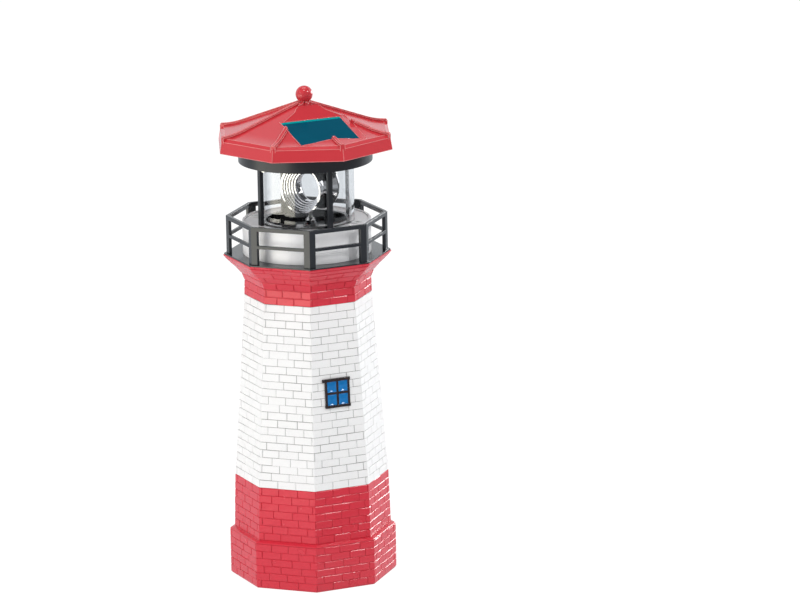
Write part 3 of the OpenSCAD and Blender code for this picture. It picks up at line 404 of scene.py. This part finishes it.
filled_uprights, filled_levels = 0.06, 0.10


def brick_layout(name, levels, length):
    """A flat skin of loose quads, one for each brick face, on the tower's outside."""
    points, faces, insets = [], [], []
    for row in range(len(levels) - 1):
        z0, z1 = levels[row], levels[row + 1]
        around = 16 * tower_radius((z0 + z1) / 2) * math.sin(half_facet)
        bricks = round(around / length)
        shift = 0.5 * (row % 2) + lay.uniform(-0.12, 0.12)
        for quad in course_quads(z0, z1, bricks, shift):
            for facet, a, b, ja, jb, jlow, jhigh, q0, q1 in cut_round_window(quad):
                if lay.random() < filled_uprights:
                    jb = False
                if lay.random() < filled_levels:
                    jlow = False
                open_by = lay.uniform(0.6, 1.35)
                r0, r1 = tower_radius(q0), tower_radius(q1)
                low_a, low_b, top_b, top_a = [
                    corner(facet, r, z).lerp(corner(facet + 1, r, z), t)
                    for r, z, t in ((r0, q0, a), (r0, q0, b), (r1, q1, b), (r1, q1, a))]
                along = (low_b - low_a).normalized()
                up = (top_a + top_b - low_a - low_b).normalized()
                start = len(points)
                points += [low_a, low_b, top_b, top_a]
                faces.append((start, start + 1, start + 2, start + 3))
                for sa, su in ((ja, jlow), (-jb, jlow), (-jb, -jhigh), (ja, -jhigh)):
                    insets.append((along * sa + up * su) * open_by)
    mesh = bpy.data.meshes.new(name)
    mesh.from_pydata(points, [], faces)
    inset = mesh.attributes.new("inset", "FLOAT_VECTOR", "POINT")
    inset.data.foreach_set("vector", [c for v in insets for c in v])
    return mesh


def brick_relief_tree():
    """Turns each quad into a brick: drawn in for the joint, raised from the mortar, edges eased."""
    tree = bpy.data.node_groups.new("brick_relief", "GeometryNodeTree")
    face = tree.interface
    for label, kind in (("Geometry", "Geometry"), ("Joint Width", "Float"),
                        ("Joint Depth", "Float"), ("Edge", "Float"), ("Unevenness", "Float"),
                        ("Seed", "Int"), ("Paint", "Material")):
        face.new_socket(label, in_out="INPUT", socket_type="NodeSocket" + kind)
    face.new_socket("Geometry", in_out="OUTPUT", socket_type="NodeSocketGeometry")
    given = add_node(tree, "NodeGroupInput").outputs
    inset = add_node(tree, "GeometryNodeInputNamedAttribute", {"Name": "inset"},
                     data_type="FLOAT_VECTOR").outputs["Attribute"]
    normal = add_node(tree, "GeometryNodeInputNormal").outputs["Normal"]
    wobble = add_node(tree, "FunctionNodeRandomValue", {
        0: (-1, -1, -1), 1: (1, 1, 1), "Seed": given["Seed"]}, data_type="FLOAT_VECTOR")

    def scaled(vector, factor):
        return add_node(tree, "ShaderNodeVectorMath", {0: vector, "Scale": factor},
                        operation="SCALE").outputs["Vector"]

    half_joint = maths(tree, "MULTIPLY", given["Joint Width"], 0.5)
    sink = maths(tree, "MULTIPLY", given["Joint Depth"], -1.0)
    drawn = vector_maths(tree, "ADD", scaled(inset, half_joint), scaled(normal, sink))
    base = add_node(tree, "GeometryNodeSetPosition",
                    {"Geometry": given["Geometry"], "Offset": drawn})
    raise_by = maths(tree, "SUBTRACT", given["Joint Depth"], given["Edge"])
    wall = add_node(tree, "GeometryNodeExtrudeMesh",
                    {"Mesh": base, "Offset Scale": raise_by, "Individual": True}).outputs
    cap = add_node(tree, "GeometryNodeExtrudeMesh", {
        "Mesh": wall["Mesh"], "Selection": wall["Top"], "Offset Scale": given["Edge"],
        "Individual": True}).outputs
    # the top face is drawn in for the eased edge and tilts a little from brick to brick
    worn = vector_maths(tree, "MULTIPLY", scaled(inset, given["Edge"]), (1.6, 1.6, 1.6))
    free = maths(tree, "GREATER_THAN", vector_maths(tree, "LENGTH", inset), 0.84)
    tilt = scaled(wobble.outputs[0], maths(tree, "MULTIPLY", given["Unevenness"], free))
    eased = add_node(tree, "GeometryNodeSetPosition", {
        "Geometry": cap["Mesh"], "Selection": cap["Top"],
        "Offset": vector_maths(tree, "ADD", worn, tilt)})
    back = add_node(tree, "GeometryNodeFlipFaces", {"Mesh": base})
    whole = add_node(tree, "GeometryNodeJoinGeometry", {0: eased})
    tree.links.new(back.outputs["Mesh"], whole.inputs[0])
    merged = add_node(tree, "GeometryNodeMergeByDistance",
                      {"Geometry": whole, "Distance": 0.000002})
    real = add_node(tree, "GeometryNodeRealizeInstances", {0: merged})
    paint = add_node(tree, "GeometryNodeSetMaterial",
                     {"Geometry": real, "Material": given["Paint"]})
    add_node(tree, "NodeGroupOutput", {0: paint})
    return tree


brick_relief = brick_relief_tree()


def laid_bricks(name, levels, length, paint, seed, edge=0.17 * mm):
    obj = add_piece(name, brick_layout(name, levels, length))
    relief = obj.modifiers.new("brick_relief", "NODES")
    relief.node_group = brick_relief
    for label, value in (("Joint Width", 0.28 * mm), ("Joint Depth", 0.60 * mm),
                         ("Edge", edge), ("Unevenness", 0.05 * mm), ("Seed", seed),
                         ("Paint", paint)):
        set_input(relief, brick_relief, label, value)
    return settled(obj)


def turned_mesh(name, outline, sides, turn=0.0):
    """A lathe shape from [radius, height] points in millimetres; the outline is closed."""
    bm = bmesh.new()
    rings = []
    for r, z in outline:
        rings.append([bm.verts.new((r * mm * math.cos(a), r * mm * math.sin(a), z * mm))
                      for a in (turn + 2 * math.pi * i / sides for i in range(sides if r else 1))])
    for low, high in zip(rings, rings[1:] + rings[:1]):
        if len(low) == 1 and len(high) == 1:
            continue
        for i in range(sides):
            j = (i + 1) % sides
            if len(low) == 1:
                bm.faces.new((low[0], high[j], high[i]))
            elif len(high) == 1:
                bm.faces.new((low[i], low[j], high[0]))
            else:
                bm.faces.new((low[i], low[j], high[j], high[i]))
    bmesh.ops.recalc_face_normals(bm, faces=bm.faces)
    return poured(bm, bpy.data.meshes.new(name))


def joined(target, *others):
    """Moves the meshes of the other objects into the target's."""
    bm = bmesh.new()
    bm.from_mesh(target.data)
    for other in others:
        shift = len(target.data.materials)
        for mat in other.data.materials:
            target.data.materials.append(mat)
        start = len(bm.faces)
        bm.from_mesh(other.data)
        bm.faces.ensure_lookup_table()
        for f in bm.faces[start:]:
            f.material_index += shift
        bpy.data.objects.remove(other)
    poured(bm, target.data)


def cut_by(obj, cutter):
    """Takes the cutter's volume out of the piece."""
    boolean = obj.modifiers.new("cut", "BOOLEAN")
    boolean.operation = "DIFFERENCE"
    boolean.solver = "EXACT"
    boolean.object = cutter
    settled(obj)
    bpy.data.objects.remove(cutter)


def box_mesh(name, low, high):
    mesh = bpy.data.meshes.new(name)
    x0, y0, z0 = (c * mm for c in low)
    x1, y1, z1 = (c * mm for c in high)
    mesh.from_pydata([(x0, y0, z0), (x1, y0, z0), (x1, y1, z0), (x0, y1, z0),
                      (x0, y0, z1), (x1, y0, z1), (x1, y1, z1), (x0, y1, z1)], [],
                     [(3, 2, 1, 0), (4, 5, 6, 7), (0, 1, 5, 4), (1, 2, 6, 5), (2, 3, 7, 6),
                      (3, 0, 4, 7)])
    return mesh


white_paint = finish("white_masonry_paint", (0.86, 0.86, 0.86), (0.76, 0.76, 0.77), 0.45,
                     drift=0.25, drift_scale=90, speckle=0.45, speckle_scale=1300,
                     relief=0.00006, rough_drift=0.2, specular=0.3)
# painted shade: the mortar between the white bricks is white paint too, coloured dark grey here to
# stand in for the shade in the joints
joint_painted_shade = finish("joint_painted_shade", (0.20, 0.195, 0.19), (0.50, 0.50, 0.49), 0.7, drift=0.5,
                      drift_scale=120, speckle=0.3, speckle_scale=900)
red_paint = finish("coral_masonry_paint", (0.65, 0.030, 0.053), (0.54, 0.017, 0.036), 0.24,
                   drift=0.30, drift_scale=90, speckle=0.35, speckle_scale=900,
                   relief=0.00006, rough_drift=0.2, specular=0.5)

wall = 2.6
mortar_depth = 0.38
sunk = mortar_depth / math.cos(half_facet)
plinth_outline = [(46.3, 0), (plinth_r - sunk, 0.7), (plinth_r - sunk, 25.6), (46.85, 25.8),
                  (plinth_r, 26.1), (46.5, 26.5), (44.4, band_bottom), (band_r - sunk, 27.3),
                  (white_r - sunk, white_bottom), (white_r - wall, white_bottom),
                  (band_r - wall, band_bottom), (43.7, 25.4), (43.7, 0)]
white_outline = [(white_r - sunk, white_bottom), (neck_r - sunk, white_top),
                 (neck_r - wall, white_top), (white_r - wall, white_bottom)]
flare_outline = [(neck_r - sunk, white_top), (flare_r - sunk, flare_bottom)]
flare_outline += [(flare_radius(t / 8) - sunk, flare_bottom + flare_h * t / 8)
                  for t in range(1, 9)]
flare_outline += [(28.9, deck_underside), (28.9, 182.5), (36, 182.5), (33, 171.2),
                  (neck_r - wall, white_top)]

white_core = add_piece("tower_white", turned_mesh("tower_white", white_outline, 8, half_facet),
                       joint_painted_shade)
lean = math.atan(math.cos(half_facet) * (white_r - neck_r) / (white_top - white_bottom))
flat_at_window = tower_radius(window_z) * math.cos(half_facet)
window_place = (Matrix.Translation(Vector((0, -flat_at_window, window_z)) * mm)
                @ Matrix.Rotation(-lean, 4, "X"))
opening_x, opening_z = (half + 0.05 for half in window_half)
opening = add_piece("opening", box_mesh("opening", (-opening_x, -6, -opening_z),
                                        (opening_x, 6, opening_z)))
opening.data.transform(window_place)
cut_by(white_core, opening)
white_levels = evenly(white_bottom, white_top, 24)
joined(white_core, laid_bricks("white_bricks", white_levels, 10.5, white_paint, 3, 0.09 * mm))
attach(white_core, "lamp")
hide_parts("tower_shell")

red_low = add_piece("tower_red_low", turned_mesh("tower_red_low", plinth_outline, 8, half_facet),
                    red_paint)
joined(red_low, laid_bricks("plinth_bricks", evenly(0.6, 25.7, 6), 10.8, red_paint, 5),
       laid_bricks("band_bricks", evenly(27.2, white_bottom, 7), 10.5, red_paint, 7))
red_top = add_piece("tower_red_top", turned_mesh("tower_red_top", flare_outline, 8, half_facet),
                    red_paint)
flare_levels = [flare_bottom + flare_h * t for t in (0.27, 0.5, 0.72, 0.9, 1)]
joined(red_top, laid_bricks("flare_bricks", evenly(white_top, flare_bottom, 2) + flare_levels,
                            10.5, red_paint, 9))
for red in (red_low, red_top):
    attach(red, "lamp")

# ------------------------------------------------------------------ base cover and its screws
# A dark plate that closes the plinth from below, held by four zinc-plated screws that go up
# into bosses of the tower. The ornament stands on it.


def dress(material, *names):
    """A CAD node whose shape is right keeps its mesh and takes a finish."""
    for name in names:
        mesh = nodes[name].data
        mesh.materials.clear()
        mesh.materials.append(material)


black_plastic = finish("black_satin_plastic", (0.017, 0.019, 0.024), (0.028, 0.030, 0.036), 0.30,
                       drift=0.2, drift_scale=40, speckle=0.1, speckle_scale=2500,
                       relief=0.000012, rough_drift=0.15, specular=0.35)
zinc = finish("zinc_plate", (0.62, 0.62, 0.60), (0.50, 0.50, 0.50), 0.32, drift=0.4,
              drift_scale=400, speckle=0.2, speckle_scale=3000, relief=0.000006, metallic=1.0)
dress(black_plastic, "base_cover")
dress(zinc, "cover_screws")

# ------------------------------------------------------------------ window
# A small moulded insert, pushed into an opening of the tower: a dark brown frame with a cross
# and an overhanging lintel, and four dished panes lacquered blue.


def flats_merged(mesh):
    """A CAD mesh with the triangles of each flat face merged."""
    bm = bmesh.new()
    bm.from_mesh(mesh)
    bmesh.ops.remove_doubles(bm, verts=bm.verts, dist=0.000002)
    bmesh.ops.dissolve_limit(bm, angle_limit=math.radians(0.6), verts=bm.verts, edges=bm.edges)
    return bm


def bevelled_copy(node, name, width, material, angle=35, smooth=40):
    """A copy of a CAD node with eased edges, which stands in for it."""
    mesh = poured(flats_merged(nodes[node].data), nodes[node].data.copy())
    mesh.name = name
    mesh.materials.clear()
    obj = add_piece(name, mesh, material)
    if width:
        ease = obj.modifiers.new("ease", "BEVEL")
        ease.width = width
        ease.segments = 2
        ease.limit_method = "ANGLE"
        ease.angle_limit = math.radians(angle)
        settled(obj)
    shaded(obj.data, smooth)
    if width:
        # normals follow the large faces: flats stay flat and the eased edges catch the light
        flats = obj.modifiers.new("flats", "WEIGHTED_NORMAL")
        flats.mode = "FACE_AREA"
        flats.weight = 90
        flats.keep_sharp = True
        settled(obj)
    return obj


frame_brown = finish("frame_lacquer", (0.014, 0.006, 0.007), (0.060, 0.020, 0.018), 0.28,
                     drift=0.5, drift_scale=500, speckle=0.2, speckle_scale=2500,
                     relief=0.00003, coat=0.4)
window_frame = bevelled_copy("window_frame", "window_frame_eased", 0.28 * mm, frame_brown)
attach(window_frame, "lamp")
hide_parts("window_frame")

pane_blue = finish("pane_lacquer", (0.0, 0.19, 0.53), (0.0, 0.10, 0.36), 0.13, drift=0.4,
                   drift_scale=500, speckle=0.1, speckle_scale=2000, relief=0.00002, specular=0.7)
pane_centre, pane_half = (3.5, 3.75), (3.0, 3.25)
pane_rim_y, pane_dish, pane_back_y = -0.72, 1.15, 2.8


def pane_mesh(name, column, row, cuts=14):
    """One dished pane: a grid that the lacquer climbs at the edges, and a flat back."""
    bm = bmesh.new()
    stops = [math.sin(math.pi * (i / cuts - 0.5)) for i in range(cuts + 1)]
    front = []
    for u in stops:
        line = []
        for v in stops:
            sink = ((1 - abs(u) ** 2) * (1 - abs(v) ** 2)) ** 0.9
            line.append(bm.verts.new((column * pane_centre[0] * mm + u * pane_half[0] * mm,
                                      (pane_rim_y + pane_dish * sink) * mm,
                                      row * pane_centre[1] * mm + v * pane_half[1] * mm)))
        front.append(line)
    for i in range(cuts):
        for j in range(cuts):
            bm.faces.new((front[i][j], front[i + 1][j], front[i + 1][j + 1], front[i][j + 1]))
    rim = front[0][:-1] + [line[-1] for line in front[:-1]]
    rim += front[-1][:0:-1] + [line[0] for line in front[:0:-1]]
    back = [bm.verts.new((v.co.x, pane_back_y * mm, v.co.z)) for v in rim]
    for k in range(len(rim)):
        bm.faces.new((rim[k - 1], back[k - 1], back[k], rim[k]))
    bm.faces.new(back)
    bmesh.ops.recalc_face_normals(bm, faces=bm.faces)
    return poured(bm, bpy.data.meshes.new(name))


window_panes = add_piece("window_panes_dished",
                         box_mesh("window_panes_dished", (-7.5, 2.65, -8), (7.5, 3.45, 8)))
for column in (-1, 1):
    for row in (-1, 1):
        joined(window_panes, add_piece("pane", pane_mesh("pane", column, row)))
window_panes.data.transform(window_place)
window_panes.data.materials.append(pane_blue)
shaded(window_panes.data, 50)
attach(window_panes, "lamp")
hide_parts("window_panes")

# ------------------------------------------------------------------ gallery
# An octagonal deck and a railing of eight angle posts and two rails, all moulded in black.
rail_black = finish("rail_black_plastic", (0.017, 0.019, 0.024), (0.028, 0.030, 0.036), 0.17,
                    drift=0.2, drift_scale=40, speckle=0.1, speckle_scale=2500, relief=0.00002,
                    rough_drift=0.15, specular=0.5)
gallery_deck = bevelled_copy("gallery_deck", "gallery_deck_eased", 0.2 * mm, rail_black)
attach(gallery_deck, "lamp")
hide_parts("gallery_deck")
railing = bevelled_copy("gallery_railing", "gallery_railing_eased", 0.25 * mm, rail_black)
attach(railing, "lamp")
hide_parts("gallery_railing")

# ------------------------------------------------------------------ drum and drive
# The silver drum hides the drive: a cup that drops into the tower, a gear plate, a small motor
# under it and two reduction stages above it. Four long screws hold the stack together.
silver = finish("drum_silver", (0.97, 0.97, 0.98), (0.85, 0.85, 0.88), 0.34, drift=0.3,
                drift_scale=60, speckle=0.35, speckle_scale=900, relief=0.00001, metallic=0.05,
                specular=0.4, stretch=(1, 1, 0.03))
drum = bevelled_copy("drum", "drum_eased", 0.2 * mm, silver)
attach(drum, "lamp")
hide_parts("drum")
natural_acetal = finish("natural_acetal", (0.80, 0.79, 0.72), (0.74, 0.73, 0.66), 0.45,
                        drift=0.2, drift_scale=200, speckle=0.1, speckle_scale=2000)
brass = finish("brass", (0.72, 0.50, 0.20), (0.60, 0.40, 0.16), 0.30, drift=0.3, drift_scale=300,
               metallic=1.0)
can_steel = finish("can_steel", (0.55, 0.55, 0.56), (0.46, 0.46, 0.47), 0.38, drift=0.3,
                   drift_scale=200, speckle=0.3, metallic=1.0)
dress(black_plastic, "drive_base", "gear_plate")
dress(zinc, "drum_screws", "gear_plate_screws", "motor_shaft", "idler_axle", "spindle")
dress(can_steel, "motor")
dress(brass, "motor_pinion")
dress(natural_acetal, "idler_gear", "spindle_gear")

# ------------------------------------------------------------------ platform
# Glossy black dish in the lantern's floor: a flange on the drum, a sunk floor and a bush cone.
gloss_black = finish("gloss_black_plastic", (0.008, 0.009, 0.012), (0.014, 0.015, 0.018), 0.07,
                     drift=0.2, drift_scale=60, speckle=0.05, rough_drift=0.05, relief=0)
platform = bevelled_copy("platform", "platform_eased", 0.15 * mm, gloss_black)
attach(platform, "lamp")
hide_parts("platform")

# ------------------------------------------------------------------ reflector
# Two metallised bowls back to back on an open throat, pressed on the spindle. Their faces are
# stepped in rings of small cells. The treads take a darker chrome, a painted shade for the dark
# bands they mirror.
chrome = finish("vacuum_chrome", (0.66, 0.66, 0.68), (0.56, 0.56, 0.58), 0.05, drift=0.2,
                drift_scale=200, speckle=0.05, rough_drift=0.04, relief=0, metallic=1.0)
chrome_painted_shade = finish("chrome_painted_shade", (0.40, 0.40, 0.42), (0.48, 0.48, 0.50), 0.08, drift=0.3,
                     drift_scale=300, speckle=0.1, rough_drift=0.04, relief=0, metallic=1.0)
spindle_x, reflector_z, reflector_turn = 2.4, 222.3, math.radians(208)
throat_r, rim_r, rim_x, throat_x = 8.0, 13.2, 9.0, 1.5
bowl_rings, bowl_sides, bowl_wall, rim_wall = 6, 108, 0.9, 0.7
tread_slope, cell_swell, cells = 0.42, 0.05, 36
lamp_hole_r = 3.3


def bowl_radius(x):
    opened = (x - throat_x) / (rim_x - throat_x)
    return math.sqrt(throat_r ** 2 + (rim_r ** 2 - throat_r ** 2) * opened)


def bowl_mesh(name):
    """Both bowls about X in one closed skin: stepped rings of small cells, which swell in turn."""
    half = [(throat_r, 0, 0), (throat_r, throat_x, 0)]
    steps = evenly(throat_x, rim_x, bowl_rings)
    for ring, (near, far) in enumerate(zip(steps, steps[1:])):
        r0, r1 = bowl_radius(near), bowl_radius(far)
        tread_end = r0 + tread_slope * (r1 - r0)
        swell = cell_swell * (-1) ** ring
        half += [((r0 + tread_end) / 2 - 0.06, (near + far) / 2, swell),
                 (tread_end, far - 0.12, swell), (r1, far, 0)]
    half += [(rim_r + rim_wall, rim_x, 0), (rim_r + rim_wall, rim_x - rim_wall, 0)]
    for x in reversed(steps[:-1]):
        outside = bowl_radius(x) + bowl_wall
        half += [(outside + 0.1, x + 0.3, 0), (outside - 0.1, x, 0)]
    # the loop runs out along one bowl's inside and back along its outside, and so for the other
    order = half + [(throat_r + bowl_wall, 0, 0)]
    order += [(r, -x, swell) for r, x, swell in reversed(half[1:])]
    bm = bmesh.new()
    loops = []
    for r, x, swell in order:
        loops.append([bm.verts.new((x * mm, (r + swell * math.cos(cells * a)) * mm * math.cos(a),
                                    (r + swell * math.cos(cells * a)) * mm * math.sin(a)))
                      for a in (2 * math.pi * i / bowl_sides for i in range(bowl_sides))])
    for a, b in zip(loops, loops[1:] + loops[:1]):
        for i in range(bowl_sides):
            k = (i + 1) % bowl_sides
            bm.faces.new((a[i], a[k], b[k], b[i]))
    bmesh.ops.recalc_face_normals(bm, faces=bm.faces)
    # the treads take the darker chrome: painted shade
    for f in bm.faces:
        centre = f.calc_center_median() / mm
        x, r = abs(centre.x), math.hypot(centre.y, centre.z)
        inside = throat_x < x < rim_x - 0.05 and r < bowl_radius(x) + 0.3
        if inside and abs(f.normal.x) < 0.75:
            f.material_index = 1
    return poured(bm, bpy.data.meshes.new(name))


on_spindle = Matrix.Translation((spindle_x * mm, 0, 0))
reflector = add_piece("reflector_bowls", bowl_mesh("reflector_bowls"), chrome, chrome_painted_shade)
reflector.data.transform(Matrix.Translation((spindle_x * mm, 0, reflector_z * mm))
                         @ Matrix.Rotation(reflector_turn, 4, "Z"))
lamp_hole = add_piece("lamp_hole", turned_mesh("lamp_hole", [
    (0, reflector_z), (lamp_hole_r, reflector_z), (lamp_hole_r, 240), (0, 240)], 48))
lamp_hole.data.transform(on_spindle)
cut_by(reflector, lamp_hole)
socket_low, socket_high = reflector_z - throat_r - 2.2, reflector_z - throat_r - 0.1
socket = add_piece("socket", turned_mesh("socket", [
    (0.9, socket_low), (1.9, socket_low), (1.9, socket_high), (0.9, socket_high)], 32), chrome)
socket.data.transform(on_spindle)
joined(reflector, socket)
shaded(reflector.data, 12)
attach(reflector, "rotor")
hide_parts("reflector")

# ------------------------------------------------------------------ clear pieces
# The lantern's tube, the drip skirt on the spindle and the diode are clear plastic.
clear = finish("clear_polystyrene", (1.0, 1.0, 1.0), (1.0, 1.0, 1.0), 0.02, drift_scale=30,
               rough_drift=0.02, relief=0, clearness=1.0)
tube_low, tube_high, tube_r, tube_bore_r = 203.1, 238.6, 26.9, 25.4
clear_tube = add_piece("clear_tube_smooth", turned_mesh("clear_tube_smooth", [
    (tube_r, tube_low), (tube_r, tube_high), (tube_bore_r, tube_high), (tube_bore_r, tube_low)],
    160), clear)
shaded(clear_tube.data, 40)
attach(clear_tube, "lamp")
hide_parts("clear_tube")
dress(clear, "drip_skirt", "led")

# ------------------------------------------------------------------ pillars, sleeve and leads
# Four black posts stand outside the tube. Behind the reflector a black strip covers the two
# leads that run from the board down to the motor.
pillars = bevelled_copy("lantern_pillars", "lantern_pillars_eased", 0.3 * mm, black_plastic)
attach(pillars, "lamp")
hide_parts("lantern_pillars")
dress(black_plastic, "lead_sleeve")
insulation = finish("lead_insulation", (0.35, 0.02, 0.02), (0.25, 0.015, 0.015), 0.45)
dress(insulation, "motor_leads", "head_leads")

# ------------------------------------------------------------------ head
# A round black tray under the roof, with the board, the diode, the cell in its cradle and the
# slide switch, which is worked from below.
head = bevelled_copy("head_tray", "head_tray_eased", 0.3 * mm, black_plastic)
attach(head, "lamp")
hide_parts("head_tray")
board_green = finish("board_green", (0.02, 0.14, 0.05), (0.015, 0.10, 0.04), 0.35, speckle=0.2)
cell_green = finish("cell_sleeve", (0.05, 0.20, 0.08), (0.04, 0.16, 0.06), 0.25, coat=0.5)
dress(board_green, "circuit_board")
dress(cell_green, "battery")
dress(black_plastic, "battery_holder", "switch_knob")
dress(brass, "battery_contacts")
dress(can_steel, "switch_body")

# ------------------------------------------------------------------ roof
# One glossy red moulding with eight ribbed hips, a sloping margin above the fascia and a sunk
# bed for the panel. Four screws hold it from below.
roof_gloss = finish("roof_gloss_red", (0.56, 0.034, 0.045), (0.49, 0.025, 0.035), 0.18,
                    drift=0.25, drift_scale=50, speckle=0.05, speckle_scale=1500,
                    relief=0.000012)
# painted highlight: the rounds on the roof's ridges are a paler red that stands in for the light
# they catch
roof_edge_painted_highlight = finish("roof_edge_red", (0.72, 0.20, 0.20), (0.60, 0.08, 0.09), 0.14, drift=0.6,
                   drift_scale=90, speckle=0.2, relief=0)
roof = bevelled_copy("roof", "roof_eased", 0.3 * mm, roof_gloss, angle=25, smooth=20)


def edge_rounds(node, name, radius, shortest, sides=8):
    """Thin rounds along a moulding's outside ridges, which catch the light; the caller colours them
    a paler red as a painted highlight.
    """
    bm = flats_merged(nodes[node].data)
    ridges = []
    for e in bm.edges:
        if (len(e.link_faces) != 2 or not e.is_convex or e.calc_length() < shortest
                or e.calc_face_angle() < math.radians(30)):
            continue
        middle = (e.verts[0].co + e.verts[1].co) / 2
        out = (e.link_faces[0].normal + e.link_faces[1].normal).normalized()
        outward = Vector((middle.x, middle.y, 0))
        if out.z > 0.3 or (outward.length > 40 * mm and out.dot(outward.normalized()) > 0.5):
            ridges.append((e.verts[0].co.copy(), e.verts[1].co.copy()))
    bm.free()
    points, faces = [], []
    for a, b in ridges:
        along = (b - a).normalized()
        side = along.orthogonal().normalized()
        other = along.cross(side)
        start = len(points)
        for end in (a, b):
            points += [end + (side * math.cos(t) + other * math.sin(t)) * radius
                       for t in (2 * math.pi * k / sides for k in range(sides))]
        first = [start + k for k in range(sides)]
        last = [start + sides + k for k in range(sides)]
        faces += [(first[k], first[(k + 1) % sides], last[(k + 1) % sides], last[k])
                  for k in range(sides)]
        faces += [first[::-1], last]
    mesh = bpy.data.meshes.new(name)
    mesh.from_pydata(points, [], faces)
    shaded(mesh, 60)
    return mesh


joined(roof, add_piece("roof_rounds", edge_rounds("roof", "roof_rounds", 0.17 * mm, 1.2 * mm),
                       roof_edge_painted_highlight))
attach(roof, "lamp")
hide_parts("roof")
dress(zinc, "roof_screws")

# ------------------------------------------------------------------ solar panel
# A laminated cell in the bed, petrol blue, with a brighter clear edge along its upper side.
solar = finish("solar_laminate", (0.0, 0.068, 0.115), (0.0, 0.085, 0.14), 0.14, drift=0.4,
               drift_scale=80, speckle=0.1, relief=0, specular=0.01)
laminate = solar.node_tree
cell_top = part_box("solar_panel")[1][1]
across = add_node(laminate, "ShaderNodeSeparateXYZ",
                  {0: add_node(laminate, "ShaderNodeTexCoord").outputs["Object"]}).outputs["Y"]
margin = add_node(laminate, "ShaderNodeMapRange", {
    "Value": across, "From Min": cell_top - 2.6 * mm, "From Max": cell_top - 2.2 * mm})
base_colour = next(link for link in laminate.links if link.to_socket.name == "Base Color")
coloured = base_colour.to_socket
bare_edge = add_node(laminate, "ShaderNodeMix", {
    "Factor": margin.outputs["Result"], 6: base_colour.from_socket, 7: (0.0, 0.27, 0.28, 1)},
    data_type="RGBA")
laminate.links.new(bare_edge.outputs[2], coloured)
panel = bevelled_copy("solar_panel", "solar_panel_eased", 0.2 * mm, solar)
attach(panel, "lamp")
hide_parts("solar_panel")

# ------------------------------------------------------------------ finial
# Ball on a short fluted neck, pushed into the top of the roof.
finial = bevelled_copy("finial", "finial_eased", 0, roof_gloss)
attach(finial, "lamp")
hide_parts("finial")
